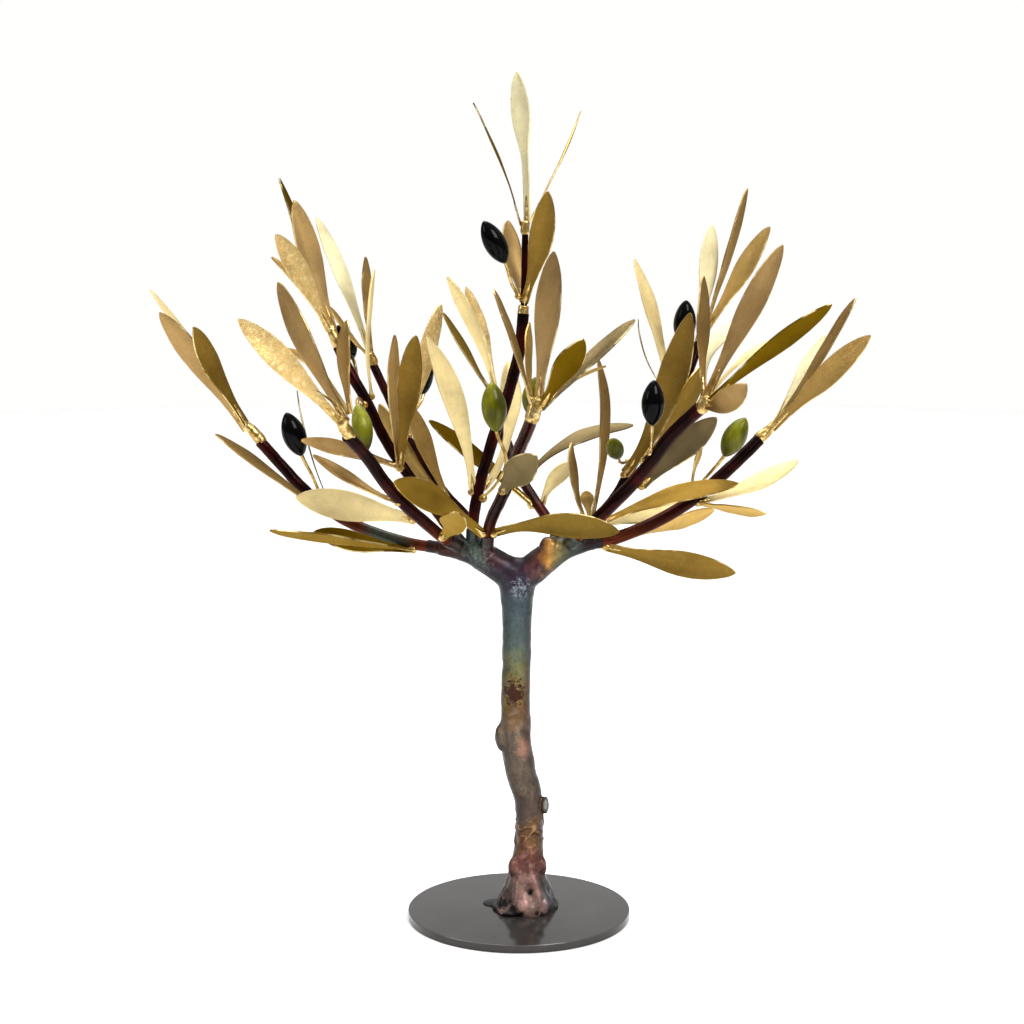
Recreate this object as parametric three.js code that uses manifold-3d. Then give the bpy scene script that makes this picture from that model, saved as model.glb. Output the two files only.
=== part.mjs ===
// A small olive tree made of metal: a bronze trunk that forks on a round steel base, dark rods
// brazed into its two arms, brass leaves on beads of braze, and enamelled olives on wire stalks.
// Millimetres, +Z up, origin at the centre of the base's underside, front towards -Y.
import * as THREE from "three";
import { mergeVertices } from "three/addons/utils/BufferGeometryUtils.js";
import Module from "manifold-3d";

const wasm = await Module();
wasm.setup();

const clearance = 0.3;
const weld = 1e-4;

const base = { diameter: 109, thickness: 4, edge: 0.5, sides: 40 };

// The point in front of the tree that its pieces are lined up from. It and every height below are
// counted from a level just under the base.
const viewpoint = { distance: 1200, height: 420 };
const zeroLevel = -2;

// Trunk: x, y, z and radius up the middle, then out along each arm.
const trunk = {
  sides: 12,
  stem: [
    [3.8, 0, 6.4, 14.2], [3.9, 0, 8.6, 14.8], [4, 0, 11, 14.3], [4, 0, 14, 12.8], [4, 0, 18, 10.7],
    [4, 0.2, 23, 9.1], [4.2, 0.3, 29, 8], [4.7, 0.5, 37, 7.1], [5.3, 0.5, 52, 6.9], [4.2, 0, 64, 7],
    [1.6, -0.5, 73, 7.3], [0, -1, 81, 7.6], [-1.4, -1, 92, 7.5], [-1.7, -1, 101, 7.2], [-1.5, -0.5, 118, 7.1],
    [-1.2, 0, 135, 7.1], [-1, 0, 152, 7.1], [-1, 0, 162, 8], [-1, 0, 170, 9.5], [-1.2, 0, 177.5, 6.5],
  ],
  leftArm: [
    [1, 0, 168, 8], [-2, 0, 172, 8.8], [-9.5, 0, 177.5, 7.5], [-18.8, 0, 183, 6.6], [-26, 0.5, 185.3, 5.6],
    [-33, 1.5, 186.2, 4.6], [-39, 2.5, 186.6, 4.1],
  ],
  rightArm: [
    [-3, 0, 168, 8], [0, 0, 171.5, 8.8], [6, 0, 176, 7.5], [12.4, 0, 181, 7.1], [19.6, 0, 186, 6.4],
    [26.8, 0.2, 188, 5], [32, 0.4, 189, 4.3], [36.5, 0.6, 189.4, 4],
  ],
  // Knots, lumps and the scar: x, y, z and the three radii.
  knots: [
    [-7.9, -1.5, 93, 3.8, 4.8, 7], [12.2, -3, 59.4, 2.6, 3, 4.4], [-1.8, -3, 28, 3.6, 4.2, 5.4],
    [9.8, -2, 28, 3.8, 4.2, 5], [14.6, -2, 188, 5, 5, 4.6], [-13, 8, 6.6, 5.4, 6, 2],
    [5, 10, 12, 6.4, 5, 5.4], [-1.5, 0, 177.2, 8, 6, 5],
  ],
  // Metal that ran out over the base round the foot.
  skirt: { x: 3.2, y: 0.5, radius: 15.6, height: 1.5, sides: 24 },
};

// Rods: thickness and route from the outer end down into the arm.
const rods = {
  rod_far_left: [5.6, [
    [-123.6, 28, 238.6], [-112, 27, 225.2], [-105, 25, 217.4], [-91.8, 21, 205.8], [-82, 18, 199.6],
    [-66, 13, 193], [-50, 8, 188.5], [-36, 3, 186.5],
  ]],
  rod_left_front: [6, [
    [-82, -55, 241], [-73, -44, 231], [-63.5, -33, 217.5], [-56, -25, 209], [-45, -15, 199],
    [-36, -8, 191.5], [-29, -2.5, 187.5],
  ]],
  rod_left_middle: [5.2, [
    [-86, 14, 284], [-82, 13, 275], [-73, 11, 258.5], [-64, 9, 239.5], [-57.5, 8, 229], [-51, 7.5, 219.5],
    [-40, 7, 205], [-32, 6, 194], [-26.5, 4, 188],
  ]],
  rod_left_back: [4.2, [
    [-69, 50, 275], [-64, 45, 264], [-54, 33, 242], [-40, 19, 220], [-34, 15, 212], [-24, 10, 201],
    [-18.5, 5.5, 193], [-17, 3, 186.5],
  ]],
  rod_centre_lower: [5.6, [
    [2, 12, 299.5], [0.2, 10, 282], [-2.8, 9, 270], [-6, 7, 258.5], [-11.8, 4, 242], [-14.8, 3, 232],
    [-19.5, 1, 215], [-22, 0, 199], [-22.5, 0, 187],
  ]],
  rod_centre_upper: [3.2, [[2.8, 15, 338], [2.6, 14, 322], [2.2, 12.4, 300.4]]],
  rod_front: [5.8, [
    [6, -82, 250], [3, -70, 242], [0, -58, 235], [-4, -42, 223], [-7.8, -30, 212.5], [-12.9, -16, 201.5],
    [-14.8, -8, 194.5], [-15.5, -3, 186.5],
  ]],
  rod_back: [5.2, [
    [-10.5, 85, 256], [-8, 72, 244], [-4.8, 62, 235.6], [1, 42, 221], [7.6, 27, 210], [14, 14, 200],
    [17.5, 6, 192], [16.5, 3.5, 186.5],
  ]],
  rod_right_front: [6.4, [
    [86, -47, 254.5], [72, -39, 241], [64, -33, 230], [55, -27, 219], [45.5, -20, 209], [36.6, -13, 200],
    [28, -7, 192.5], [24, -3.5, 188.5],
  ]],
  rod_right_back: [4.6, [
    [85.5, 43, 286], [83, 40, 278.5], [78.3, 35.5, 266], [70.5, 29, 251.5], [63, 23.5, 239.5],
    [53.5, 16, 225.5], [46.4, 11, 212.5], [39.5, 7.5, 204], [30, 5, 195.5], [23, 3, 189],
  ]],
  rod_far_right: [6.2, [
    [114.6, 25, 239.5], [105, 21, 229.6], [95, 17, 220.2], [85.4, 13, 212], [70.2, 8, 202], [50.5, 3, 193],
    [40, 1, 190], [31, 0.5, 189.2],
  ]],
};
const rodSides = 7;
const rodStep = 13;

// Leaf blade: thickness at its edge and along its middle, how far its sides are folded up, the least
// half widths of its stalk and tip, its stalk as a share of its width, where it is fullest, and how
// slowly it widens up to there and narrows after. Its stations run from its stalk's end to its tip.
const blade = {
  edge: 0.7, middle: 1.2, fold: 0.6, stalk: 1, tip: 0.5, root: 0.34, fullest: 0.6, rise: 1.1, fall: 0.62,
};
const bladeStations = [0.28, 0.6, 0.88, 1];
const stalkShare = 0.1;

// Brass leaves. A bead is x, y, z and radius. A leaf is its root, middle and tip, its width, how far
// it is turned about its length from facing the front (in degrees), and the share that is stalk.
const leaves = {
  leaves_far_left: {
    beads: [[-124, 28, 240, 3.6], [-127, 28, 243.5, 3], [-130, 28, 246.5, 2.4]],
    blades: [
      [[-130, 29, 246], [-153, 42, 281], [-174.2, 55, 311], 10, 72],
      [[-130, 28, 244], [-152.6, 22, 277], [-170, 10, 300], 12, -30],
      [[-130, 27, 247], [-145, 8, 273], [-154, -14, 293], 11.2, 35],
    ],
  },
  leaves_left_front: {
    beads: [[-82, -55, 243, 3.8], [-84, -56, 246.5, 3], [-83, -57, 250, 2.4]],
    blades: [
      [[-84.6, -56, 247], [-110.4, -62, 274.8], [-133, -70, 297], 11.8, 10],
      [[-83, -56, 249], [-99.3, -49, 281], [-114, -42, 314.5], 12, -40],
      [[-81, -55, 252], [-97, -42, 273], [-112, -26, 283.5], 10.5, 70],
      [[-80, -56, 252], [-83, -60, 275], [-81.5, -66, 296.5], 11.5, -60],
      [[-83, -57, 250], [-90, -72, 258], [-98, -88, 263], 4, 88],
    ],
  },
  leaves_left_middle: {
    beads: [[-86.5, 14, 286, 3.4], [-88, 14, 289.5, 2.7], [-89, 14, 293, 2.2]],
    blades: [
      [[-89, 15, 292], [-100.5, 30, 327], [-112, 44, 363.3], 10.5, 70],
      [[-88, 14, 292], [-97, 14, 322], [-105.5, 14, 353], 12, 25],
      [[-90, 13, 292], [-102, 2, 316], [-114.5, -12, 337], 11, 20],
      [[-90, 14, 291], [-102.4, 24, 310.6], [-116.5, 36, 326.3], 8.5, 70],
    ],
  },
  leaves_left_back: {
    beads: [[-69.5, 50, 277.5, 3.1], [-71, 50, 281, 2.4]],
    blades: [
      [[-71, 50, 281], [-82, 58, 313], [-95.3, 66, 345], 9.2, 40],
      [[-70, 50, 281], [-72, 46, 304], [-72.5, 40, 326.5], 10.8, 67],
      [[-71.5, 49, 280], [-81, 31, 290], [-90, 16, 303], 10, 78],
    ],
  },
  leaves_top: {
    beads: [[2.8, 15, 339.5, 2.8], [3, 15, 343, 2.1]],
    blades: [
      [[3.8, 15, 342.5], [2.6, 10, 373], [-1, 2, 412.5], 10.9, -38, 0.36],
      [[0.8, 15, 341.2], [-8.3, 10, 368.8], [-21.7, 0, 398], 6, 88],
      [[4, 15.5, 341], [16.9, 24, 366.8], [28.8, 38, 394.3], 6, 87],
    ],
  },
  leaves_centre: {
    beads: [[1.8, 12, 299, 3.4], [2.3, 12.4, 303.5, 2.9]],
    blades: [
      [[2.4, 11.5, 305], [9.7, -2, 332], [13.4, -12, 357], 11.9, -15],
      [[2, 13.4, 305], [-2.5, 23.6, 324], [-5.5, 30.6, 343.5], 11.6, 40],
    ],
  },
  leaves_front: {
    beads: [[6.5, -84, 252, 4.3], [7.5, -84, 256, 3.4], [9, -84, 259, 2.4]],
    blades: [
      [[5.5, -84, 257], [-2.3, -81, 283], [-12.3, -74, 311], 11, 75],
      [[9, -84, 258], [12.5, -88, 293], [16, -88, 329], 12.5, -25],
      [[10.5, -85, 255.5], [20.2, -94, 271.8], [30, -104, 287.6], 12.4, 30],
      [[10.5, -84, 254], [31.5, -76, 275.2], [54.5, -66, 296.8], 11.8, -60],
      [[9.5, -83, 256], [24, -68, 267.5], [41, -52, 274.5], 7, 80],
      [[6, -83, 257], [3.8, -73, 277.5], [4.8, -60, 295.5], 7.6, 65],
    ],
  },
  leaves_back: {
    beads: [[-10.5, 86, 258, 3.4], [-10.8, 86.5, 261.5, 2.6]],
    blades: [
      [[-12, 87, 260.5], [-24, 96, 279.2], [-35.5, 106, 300], 12, 72],
      [[-11, 86, 261.5], [-19, 79, 289], [-33.7, 70, 317], 11.2, -55],
      [[-10.8, 87, 261.5], [-17.1, 98, 289], [-24.8, 112, 312.3], 9.8, 50],
    ],
  },
  leaves_right_front: {
    beads: [[87.5, -48, 256, 4], [89, -48.5, 260, 2.9]],
    blades: [
      [[89, -48, 260], [105.2, -44, 295], [124, -40, 332], 12, 25],
      [[90, -49, 257.6], [115.8, -60, 280.2], [147.5, -74, 304], 11.2, 45],
      [[90, -47, 260], [110.5, -36, 280.5], [133, -24, 288], 9, -70],
      [[88.5, -46, 260], [90.5, -28, 282], [107, -14, 296], 11, -50],
      [[88.6, -49, 256.4], [96.4, -65, 256.8], [107.6, -82, 266], 11.4, 6, 0.05],
      [[87.5, -47, 260], [86.6, -41, 284], [87, -32, 317.5], 12, 63],
    ],
  },
  leaves_right_back: {
    beads: [[86, 43.5, 288, 3.1], [87, 44, 292, 2.4]],
    blades: [
      [[87, 44, 292], [88.3, 49, 314], [90.8, 56, 341.5], 12, 42],
      [[88, 44.5, 292], [97.4, 53, 324], [107, 64, 358.5], 11, 70],
      [[88.5, 43.5, 291.5], [102.8, 38, 315], [117.8, 30, 340.5], 11.5, -40],
    ],
  },
  leaves_far_right: {
    beads: [[116, 25.5, 241.3, 3.8], [119.4, 26, 244.2, 2.6], [122, 26.5, 247, 2.2]],
    blades: [
      [[121, 27, 246], [133.8, 35, 267.5], [145, 44, 289.5], 10.5, 35],
      [[121, 26, 246], [139.6, 20, 273], [158.8, 12, 307], 11, -68],
      [[121, 25, 245], [142, 11, 266], [166.5, -4, 289.5], 12, -25],
      [[122, 27, 248], [126, 31, 256], [129.5, 36, 263], 6, 75],
    ],
  },
  leaf_pair_far_left: {
    beads: [[-90.5, 19, 204.5, 3.2]],
    blades: [
      [[-92.6, 18.5, 203.4], [-116.8, 9, 221.4], [-144.8, -4, 242], 10, 65],
      [[-89.5, 19.5, 205.5], [-100, 25, 234], [-105.5, 33, 263], 4, 88],
    ],
  },
  leaf_left_slim: {
    beads: [[-58, -27, 209, 2.6]],
    blades: [[[-58, -27, 209], [-76.6, -22, 217.5], [-98.5, -16, 232], 9.6, 58]],
  },
  leaf_left_pale: {
    beads: [[-51, -17.5, 200.5, 2.6]],
    blades: [[[-50, -17.5, 200.6], [-78.6, -8, 206.6], [-107, 0, 211.5], 15, -15, 0.03]],
  },
  leaf_pair_left_low: {
    beads: [[-51, 7, 186, 2.6]],
    blades: [
      [[-51, 7, 185.5], [-84, -12, 190.5], [-119.8, -34, 195.2], 9.5, -65],
      [[-51, 7, 186], [-76, 2, 189], [-98.6, -5, 194.6], 13.8, 45],
    ],
  },
  leaf_left_upright: {
    beads: [[-70.3, 12, 260, 2.4]],
    blades: [[[-70, 12, 260], [-72, 17, 290], [-68, 24, 321], 9, 78]],
  },
  leaf_trio_left: {
    beads: [[-57, 5, 226, 3]],
    blades: [
      [[-57.5, 5, 226], [-60, -5, 258], [-59, -20, 289.5], 10.5, 60],
      [[-57, 5, 226], [-53, -14, 260], [-49, -38, 289], 12.3, -28],
      [[-57, 5, 226], [-80, 0, 233.5], [-104, -8, 239], 11.8, 55],
    ],
  },
  leaf_left_golden: {
    beads: [[-52.5, 31.5, 241, 2.4]],
    blades: [[[-53, 32, 241], [-47, 37, 270], [-36.8, 46, 304], 12, 45]],
  },
  leaf_centre_pale: {
    beads: [[-22.8, 0.5, 214, 2.4]],
    blades: [[[-22.2, 0.5, 214], [-28.8, -9, 251], [-44, -20, 288.5], 11.2, 25]],
  },
  leaf_pair_left_inner: {
    beads: [[-35, 12.5, 211, 2.8]],
    blades: [
      [[-34.5, 12.5, 211], [-44.2, 10, 234.5], [-52.2, 6, 256.5], 10.5, 40],
      [[-35, 12.5, 211], [-52, 12, 229.5], [-66.5, 15, 256.5], 12.5, -45],
    ],
  },
  leaf_pair_behind: {
    beads: [[6.4, 25.5, 207.5, 2.4], [9, 28, 208, 2.7], [11.6, 25.5, 208.5, 2.2]],
    blades: [
      [[7, 25, 207.5], [-17, 24, 228], [-43, 20, 248.5], 10.5, 45],
      [[11.4, 25, 208], [15.5, 24, 218.2], [25.6, 21, 228.7], 9, 30],
    ],
  },
  leaf_front_big: {
    beads: [[-17.5, -11.5, 193.5, 2.4]],
    blades: [[[-17.5, -11.5, 193.5], [-37, -28, 208], [-60, -44, 219], 13.6, 15, 0.2]],
  },
  leaf_front_stub: {
    beads: [[-37, -12.5, 192, 2.6]],
    blades: [[[-37, -12.5, 192], [-32.5, -33, 197.5], [-30.5, -54, 204.5], 13, 0, 0.12]],
  },
  leaf_front_grey: {
    beads: [[-8, -35, 214.5, 2.6]],
    blades: [[[-8, -35, 214.5], [-2, -66, 222], [8, -98, 231.5], 14, 0, 0.1]],
  },
  leaf_centre_hidden: {
    beads: [[-17, 3, 216, 2.4]],
    blades: [[[-17, 3, 216], [-6, 14, 239.5], [-5, 28, 277], 12.4, 35, 0.35]],
  },
  leaf_back_long: {
    beads: [[3, 40, 219.5, 2.6]],
    blades: [[[3, 40, 219.4], [23.3, 47, 237.6], [54.5, 52, 246.3], 12.4, -62]],
  },
  leaf_trio_right: {
    beads: [[34, 4.5, 201, 3]],
    blades: [
      [[35, 4, 202], [40.5, 10, 242], [37.4, 16, 278.4], 10, 62],
      [[34, 3, 201], [32.6, -14, 210], [32.5, -32, 214.5], 6.5, 0],
      [[31.4, 5, 200.8], [26.2, 7, 219], [25, 12, 238], 10, 66],
    ],
  },
  leaf_front_low: {
    beads: [[-12, -9.5, 193.5, 2.6]],
    blades: [[[-12.5, -9, 193.9], [15, -26, 198.2], [48, -42, 194.6], 12.6, 22, 0.15]],
  },
  leaf_pair_right_upright: {
    beads: [[72.2, 31, 259.5, 2.8]],
    blades: [
      [[72, 31, 260.5], [65.2, 33, 291], [54.5, 42, 325.5], 10.2, 55],
      [[71.5, 30.5, 259.5], [60, 22, 279], [56.5, 12, 297], 3, 89],
    ],
  },
  leaf_right_big: {
    beads: [[50.5, 13.5, 222.3, 2.8]],
    blades: [[[50.5, 12.5, 223], [67, -3, 252.5], [81, -14, 300], 14.6, -15]],
  },
  leaf_right_slim: {
    beads: [[59.5, -30, 229, 2.6]],
    blades: [[[59.5, -30, 229], [74, -26, 249], [88, -15, 276], 12.6, 50]],
  },
  leaf_right_under: {
    beads: [[58.5, -27, 217, 2.6]],
    blades: [[[58.8, -27, 217], [77, -22, 234], [94, -18, 250], 13, -20]],
  },
  leaf_pair_right_inner: {
    beads: [[39.5, -12, 198.5, 2.8]],
    blades: [
      [[39.5, -12, 198.5], [71, -6, 211.5], [105, 2, 218], 11.5, -42],
      [[39.5, -11, 198.5], [61, 19, 202.5], [85, 34, 209.3], 11, -48],
    ],
  },
  leaf_pair_right_low: {
    beads: [[86, 12.5, 209, 2.8]],
    blades: [
      [[86, 12.5, 209], [111, 21, 217.2], [133.5, 30, 229.5], 12, -48],
      [[86.5, 12, 208.5], [101.5, -4, 206], [118.5, -20, 204.2], 11, 67],
    ],
  },
  leaf_right_behind: {
    beads: [[54, 6.5, 193, 2.4]],
    blades: [[[54, 6.5, 193], [76, 22, 199.5], [93.5, 42, 205], 11, 50]],
  },
  leaf_right_lowest: {
    beads: [[41.5, 0.5, 187.5, 2.6]],
    blades: [[[41.5, 0.5, 187.5], [68, -8, 181.2], [104.3, -20, 174.6], 13.4, 25]],
  },
};

// Olives: width, body from its stalk end to its tip, route of the wire stalk down to its bead, and
// the bead's radius.
const olives = {
  olive_black_left: {
    width: 11.4, body: [[-103.7, 10, 231.5], [-111, 8, 252.4]],
    stalk: [[-99, 13, 222], [-95.2, 19, 212.8]], bead: 2.2,
  },
  olive_black_left_middle: {
    width: 10.4, body: [[-78.7, 46, 278], [-86, 38, 294]],
    stalk: [[-77, 32, 270.5], [-74.5, 14, 262.5]], bead: 2.2,
  },
  olive_black_middle: {
    width: 10, body: [[-45.5, 52, 261], [-45, 54, 282]],
    stalk: [[-49, 46, 254], [-54.5, 38, 248]], bead: 2,
  },
  olive_black_top: {
    width: 10.7, body: [[-6.4, 2, 323.4], [-16.9, 0, 343.2]],
    stalk: [[-3.6, 4.8, 314], [-0.5, 9.4, 307.9]], bead: 1.6,
  },
  olive_black_right_front: {
    width: 10.8, body: [[63.2, -35, 246], [64, -36, 268]],
    stalk: [[63.2, -34.6, 240], [63, -34, 233]], bead: 2,
  },
  olive_black_right_back: {
    width: 11, body: [[77.9, 28, 284.6], [79, 24, 306]],
    stalk: [[78, 31, 279], [78.8, 35.8, 275.3]], bead: 2,
  },
  olive_green_left: {
    width: 9.6, body: [[-77, -8, 256.5], [-72.5, -14, 234]],
    stalk: [[-76, 1, 259], [-73.8, 8.7, 256]], bead: 2.2,
  },
  olive_green_centre: {
    width: 12, body: [[-10.8, -8, 243], [-13.2, -9, 267]],
    stalk: [[-6.2, -4, 229], [-9.6, -3, 220], [-17.3, -1.8, 211]], bead: 2.2,
  },
  olive_green_front: {
    width: 10, body: [[5, -60, 251], [8, -60, 269.5]],
    stalk: [[2, -61, 243], [0.5, -62.8, 238.5]], bead: 2,
  },
  olive_green_small: {
    width: 8.4, body: [[47.3, 4, 230.5], [44.2, -6, 239.5]],
    stalk: [[48.6, 12.5, 228.2], [52, 19.8, 228.6]], bead: 1.6,
  },
  olive_green_right: {
    width: 11.4, body: [[97.8, 9, 231.3], [107.9, 6, 249.9]],
    stalk: [[91.5, 11, 223.5], [84.5, 12.5, 215.5]], bead: 2.8,
    leaf: [[83, 12.5, 215], [84, 15, 227], [89, 20, 243], 9, 78],
  },
};
const stalkThickness = 1.8;
const oliveSides = 8;

const finishes = {
  base_plate: { color: 0x3f3c3b, roughness: 0.45, metalness: 0.9 },
  trunk: { color: 0x5a4038, roughness: 0.5, metalness: 0.85 },
  rod: { color: 0x2a0d0c, roughness: 0.3, metalness: 0.6 },
  leaf: { color: 0xb08d45, roughness: 0.4, metalness: 0.95 },
  black: { color: 0x08080a, roughness: 0.15, metalness: 0 },
  green: { color: 0x6f7f1e, roughness: 0.2, metalness: 0 },
};

const at = (x, y, z) => new THREE.Vector3(x, y, z + zeroLevel);

// The point at depth y that is seen at x and z in the middle plane.
function place([x, y, z]) {
  const along = y / viewpoint.distance;
  return at(x * (1 + along), y, z - (viewpoint.height - z) * along);
}

function solidOf(geometry) {
  const bare = new THREE.BufferGeometry();
  bare.setAttribute("position", geometry.getAttribute("position").clone());
  if (geometry.index) bare.setIndex(geometry.index.clone());
  const merged = mergeVertices(bare, weld);
  const corners = merged.index.array;
  const kept = [];
  for (let i = 0; i < corners.length; i += 3) {
    const [a, b, c] = corners.slice(i, i + 3);
    if (a !== b && b !== c && c !== a) kept.push(a, b, c);
  }
  return new wasm.Manifold(new wasm.Mesh({
    numProp: 3,
    vertProperties: new Float32Array(merged.getAttribute("position").array),
    triVerts: new Uint32Array(kept),
  }));
}

function largestPiece(solid) {
  const pieces = solid.decompose();
  return pieces.reduce((best, piece) => (piece.volume() > best.volume() ? piece : best));
}

function meshOf(name, solid, finish) {
  const { vertProperties, triVerts } = largestPiece(solid).getMesh();
  const geometry = new THREE.BufferGeometry();
  geometry.setAttribute("position", new THREE.BufferAttribute(new Float32Array(vertProperties), 3));
  geometry.setIndex(new THREE.BufferAttribute(new Uint32Array(triVerts), 1));
  geometry.computeVertexNormals();
  const mesh = new THREE.Mesh(geometry, new THREE.MeshStandardMaterial({ ...finish, flatShading: true }));
  mesh.name = name;
  return mesh;
}

const joined = (solids) => solids.reduce((whole, solid) => whole.add(solid));
const cutBy = (solid, cutters) => cutters.reduce((left, cutter) => left.subtract(cutter), solid);

// A closed skin over rings of points that run anticlockwise seen from its far end.
function skin(rings) {
  const count = rings[0].length;
  const points = rings.flat();
  const corners = [];
  for (let k = 0; k + 1 < rings.length; k += 1) {
    for (let i = 0; i < count; i += 1) {
      const next = (i + 1) % count;
      const [a, b] = [k * count + i, k * count + next];
      corners.push(a, b, b + count, a, b + count, a + count);
    }
  }
  const ends = [[0, -1], [rings.length - 1, 1]];
  for (const [k, facing] of ends) {
    const middle = rings[k].reduce((sum, point) => sum.add(point), new THREE.Vector3()).divideScalar(count);
    points.push(middle);
    for (let i = 0; i < count; i += 1) {
      const pair = [k * count + i, k * count + ((i + 1) % count)];
      corners.push(points.length - 1, ...(facing > 0 ? pair : pair.reverse()));
    }
  }
  const geometry = new THREE.BufferGeometry().setFromPoints(points);
  geometry.setIndex(corners);
  return solidOf(geometry);
}

function tube(points, thickness, sides, steps) {
  const section = new THREE.Shape(Array.from({ length: sides }, (_, i) => {
    const angle = (i / sides) * 2 * Math.PI;
    return new THREE.Vector2(Math.cos(angle), Math.sin(angle)).multiplyScalar(thickness / 2);
  }));
  const path = new THREE.CatmullRomCurve3(points);
  return solidOf(new THREE.ExtrudeGeometry(section, { steps, extrudePath: path, bevelEnabled: false }));
}

// A rod, or with a growth the room that must stay clear round it.
function rodSolid([thickness, route], growth = 0) {
  const points = route.map(place);
  const steps = Math.round(new THREE.CatmullRomCurve3(points).getLength() / rodStep);
  const outward = points[0].clone().sub(points[1]).setLength(growth);
  const inward = points.at(-1).clone().sub(points.at(-2)).setLength(growth);
  points[0].add(outward);
  points.at(-1).add(inward);
  return tube(points, thickness + 2 * growth, rodSides, steps);
}

function bead([x, y, z, radius], growth = 0) {
  const centre = place([x, y, z]);
  const ball = new THREE.OctahedronGeometry(radius + growth, 1);
  return solidOf(ball.translate(centre.x, centre.y, centre.z));
}

// Half width of a leaf at a station from 0 to 1 along its blade.
function halfWidth(width, station) {
  const { root, fullest, rise, fall, stalk, tip } = blade;
  if (station < fullest) {
    const swell = ((1 - Math.cos(Math.PI * (station / fullest))) / 2) ** rise;
    return Math.max((width / 2) * (root + (1 - root) * swell), stalk);
  }
  const left = Math.max(Math.cos((Math.PI / 2) * ((station - fullest) / (1 - fullest))), 0);
  return Math.max((width / 2) * left ** fall, tip);
}

// Six points round a leaf: right edge, upper middle, left edge and lower middle.
function leafRing(centre, across, facing, half, fold, edge, middle) {
  const corners = [
    [half, fold - edge / 2], [half, fold + edge / 2], [0, middle / 2],
    [-half, fold + edge / 2], [-half, fold - edge / 2], [0, -middle / 2],
  ];
  return corners.map(([u, v]) => centre.clone().addScaledVector(across, u).addScaledVector(facing, v));
}

function leafSolid([root, middle, tip, width, turn, stalk = stalkShare]) {
  const [start, halfway, end] = [root, middle, tip].map(place);
  const control = halfway.clone().multiplyScalar(2).sub(start.clone().add(end).divideScalar(2));
  const line = new THREE.QuadraticBezierCurve3(start, control, end);
  const eye = at(0, -viewpoint.distance, viewpoint.height);
  const marks = stalk > stalkShare ? [0, 0, ...bladeStations] : [0, ...bladeStations];
  const rings = marks.map((mark, i) => {
    const along = i === 0 ? 0 : stalk + mark * (1 - stalk);
    const centre = line.getPointAt(along);
    const forward = line.getTangentAt(along);
    const sight = eye.clone().sub(centre).normalize();
    const facing = sight.addScaledVector(forward, -sight.dot(forward)).normalize();
    facing.applyAxisAngle(forward, THREE.MathUtils.degToRad(turn));
    const across = facing.clone().cross(forward);
    const half = halfWidth(width, mark);
    if (mark === 0) return leafRing(centre, across, facing, half, 0, blade.stalk, 2 * blade.stalk);
    return leafRing(centre, across, facing, half, (blade.fold * 2 * half) / width, blade.edge, blade.middle);
  });
  return skin(rings);
}

// A pointed oval turned about the line from its stalk end to its tip, with its wire stalk, its bead
// and, on one of them, a slim leaf that grows from the same bead.
function oliveSolid(olive) {
  const [low, high] = olive.body.map(place);
  const along = high.clone().sub(low);
  const length = along.length();
  const shares = [0, 0.05, 0.2, 0.42, 0.66, 0.88, 1];
  const swell = (share) => Math.sin(Math.PI * share ** 0.96) ** 0.54;
  const profile = shares.map((share) => {
    const ends = share === 0 || share === 1;
    return new THREE.Vector2(ends ? 0 : (olive.width / 2) * swell(share), share * length);
  });
  const upright = new THREE.Vector3(0, 1, 0);
  const body = new THREE.LatheGeometry(profile, oliveSides);
  body.applyQuaternion(new THREE.Quaternion().setFromUnitVectors(upright, along.normalize()));
  body.translate(low.x, low.y, low.z);
  const inside = low.clone().lerp(high, 0.15);
  const stalk = tube([inside, low, ...olive.stalk.map(place)], stalkThickness, 5, 4);
  const pieces = [solidOf(body), stalk, bead([...olive.stalk.at(-1), olive.bead])];
  if (olive.leaf) pieces.push(leafSolid(olive.leaf));
  return joined(pieces);
}

function baseSolid(growth = 0) {
  const [radius, top, edge] = [base.diameter / 2, base.thickness + growth, base.edge];
  const side = [[radius - edge, 0], [radius, edge], [radius, top - edge], [radius - edge, top]];
  const outline = [[0, 0], ...side, [0, top]].map(([x, z]) => new THREE.Vector2(x, z));
  const turned = new THREE.LatheGeometry(outline, base.sides);
  return solidOf(turned.rotateX(Math.PI / 2));
}

// A round skin along stations of x, y, z and radius, with the shallow waves of hand-worked metal.
function limb(stations, growth, wave) {
  const line = new THREE.CatmullRomCurve3(stations.map(([x, y, z]) => at(x, y, z)));
  const rings = stations.map(([x, y, z, radius], k) => {
    const forward = line.getTangent(k / (stations.length - 1));
    const across = new THREE.Vector3(0, 1, 0).cross(forward).normalize();
    const up = forward.clone().cross(across);
    return Array.from({ length: trunk.sides }, (_, i) => {
      const angle = (i / trunk.sides) * 2 * Math.PI;
      const ripple = Math.sin(3 * angle + 0.9 * k) + Math.sin(2 * angle - 1.7 * k);
      const reach = radius * (1 + wave * ripple) + growth;
      return at(x, y, z)
        .addScaledVector(across, reach * Math.cos(angle))
        .addScaledVector(up, reach * Math.sin(angle));
    });
  });
  return skin(rings);
}

function skirtSolid() {
  const { x, y, radius, height, sides } = trunk.skirt;
  const levels = [[1, 0], [0.97, 0.5], [0.72, 1]];
  const rings = levels.map(([share, rise]) => Array.from({ length: sides }, (_, i) => {
    const angle = (i / sides) * 2 * Math.PI;
    const lobes = 0.07 * Math.sin(2 * angle + 0.6) + 0.05 * Math.sin(5 * angle) - 0.03 * Math.sin(9 * angle);
    const reach = share * radius * (1 + lobes);
    const level = base.thickness + clearance + height * rise;
    return new THREE.Vector3(x + reach * Math.cos(angle), y + reach * Math.sin(angle), level);
  }));
  return skin(rings);
}

function knotSolid([x, y, z, across, deep, tall]) {
  return solidOf(new THREE.OctahedronGeometry(1, 1).scale(across, deep, tall).translate(x, y, z + zeroLevel));
}

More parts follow.
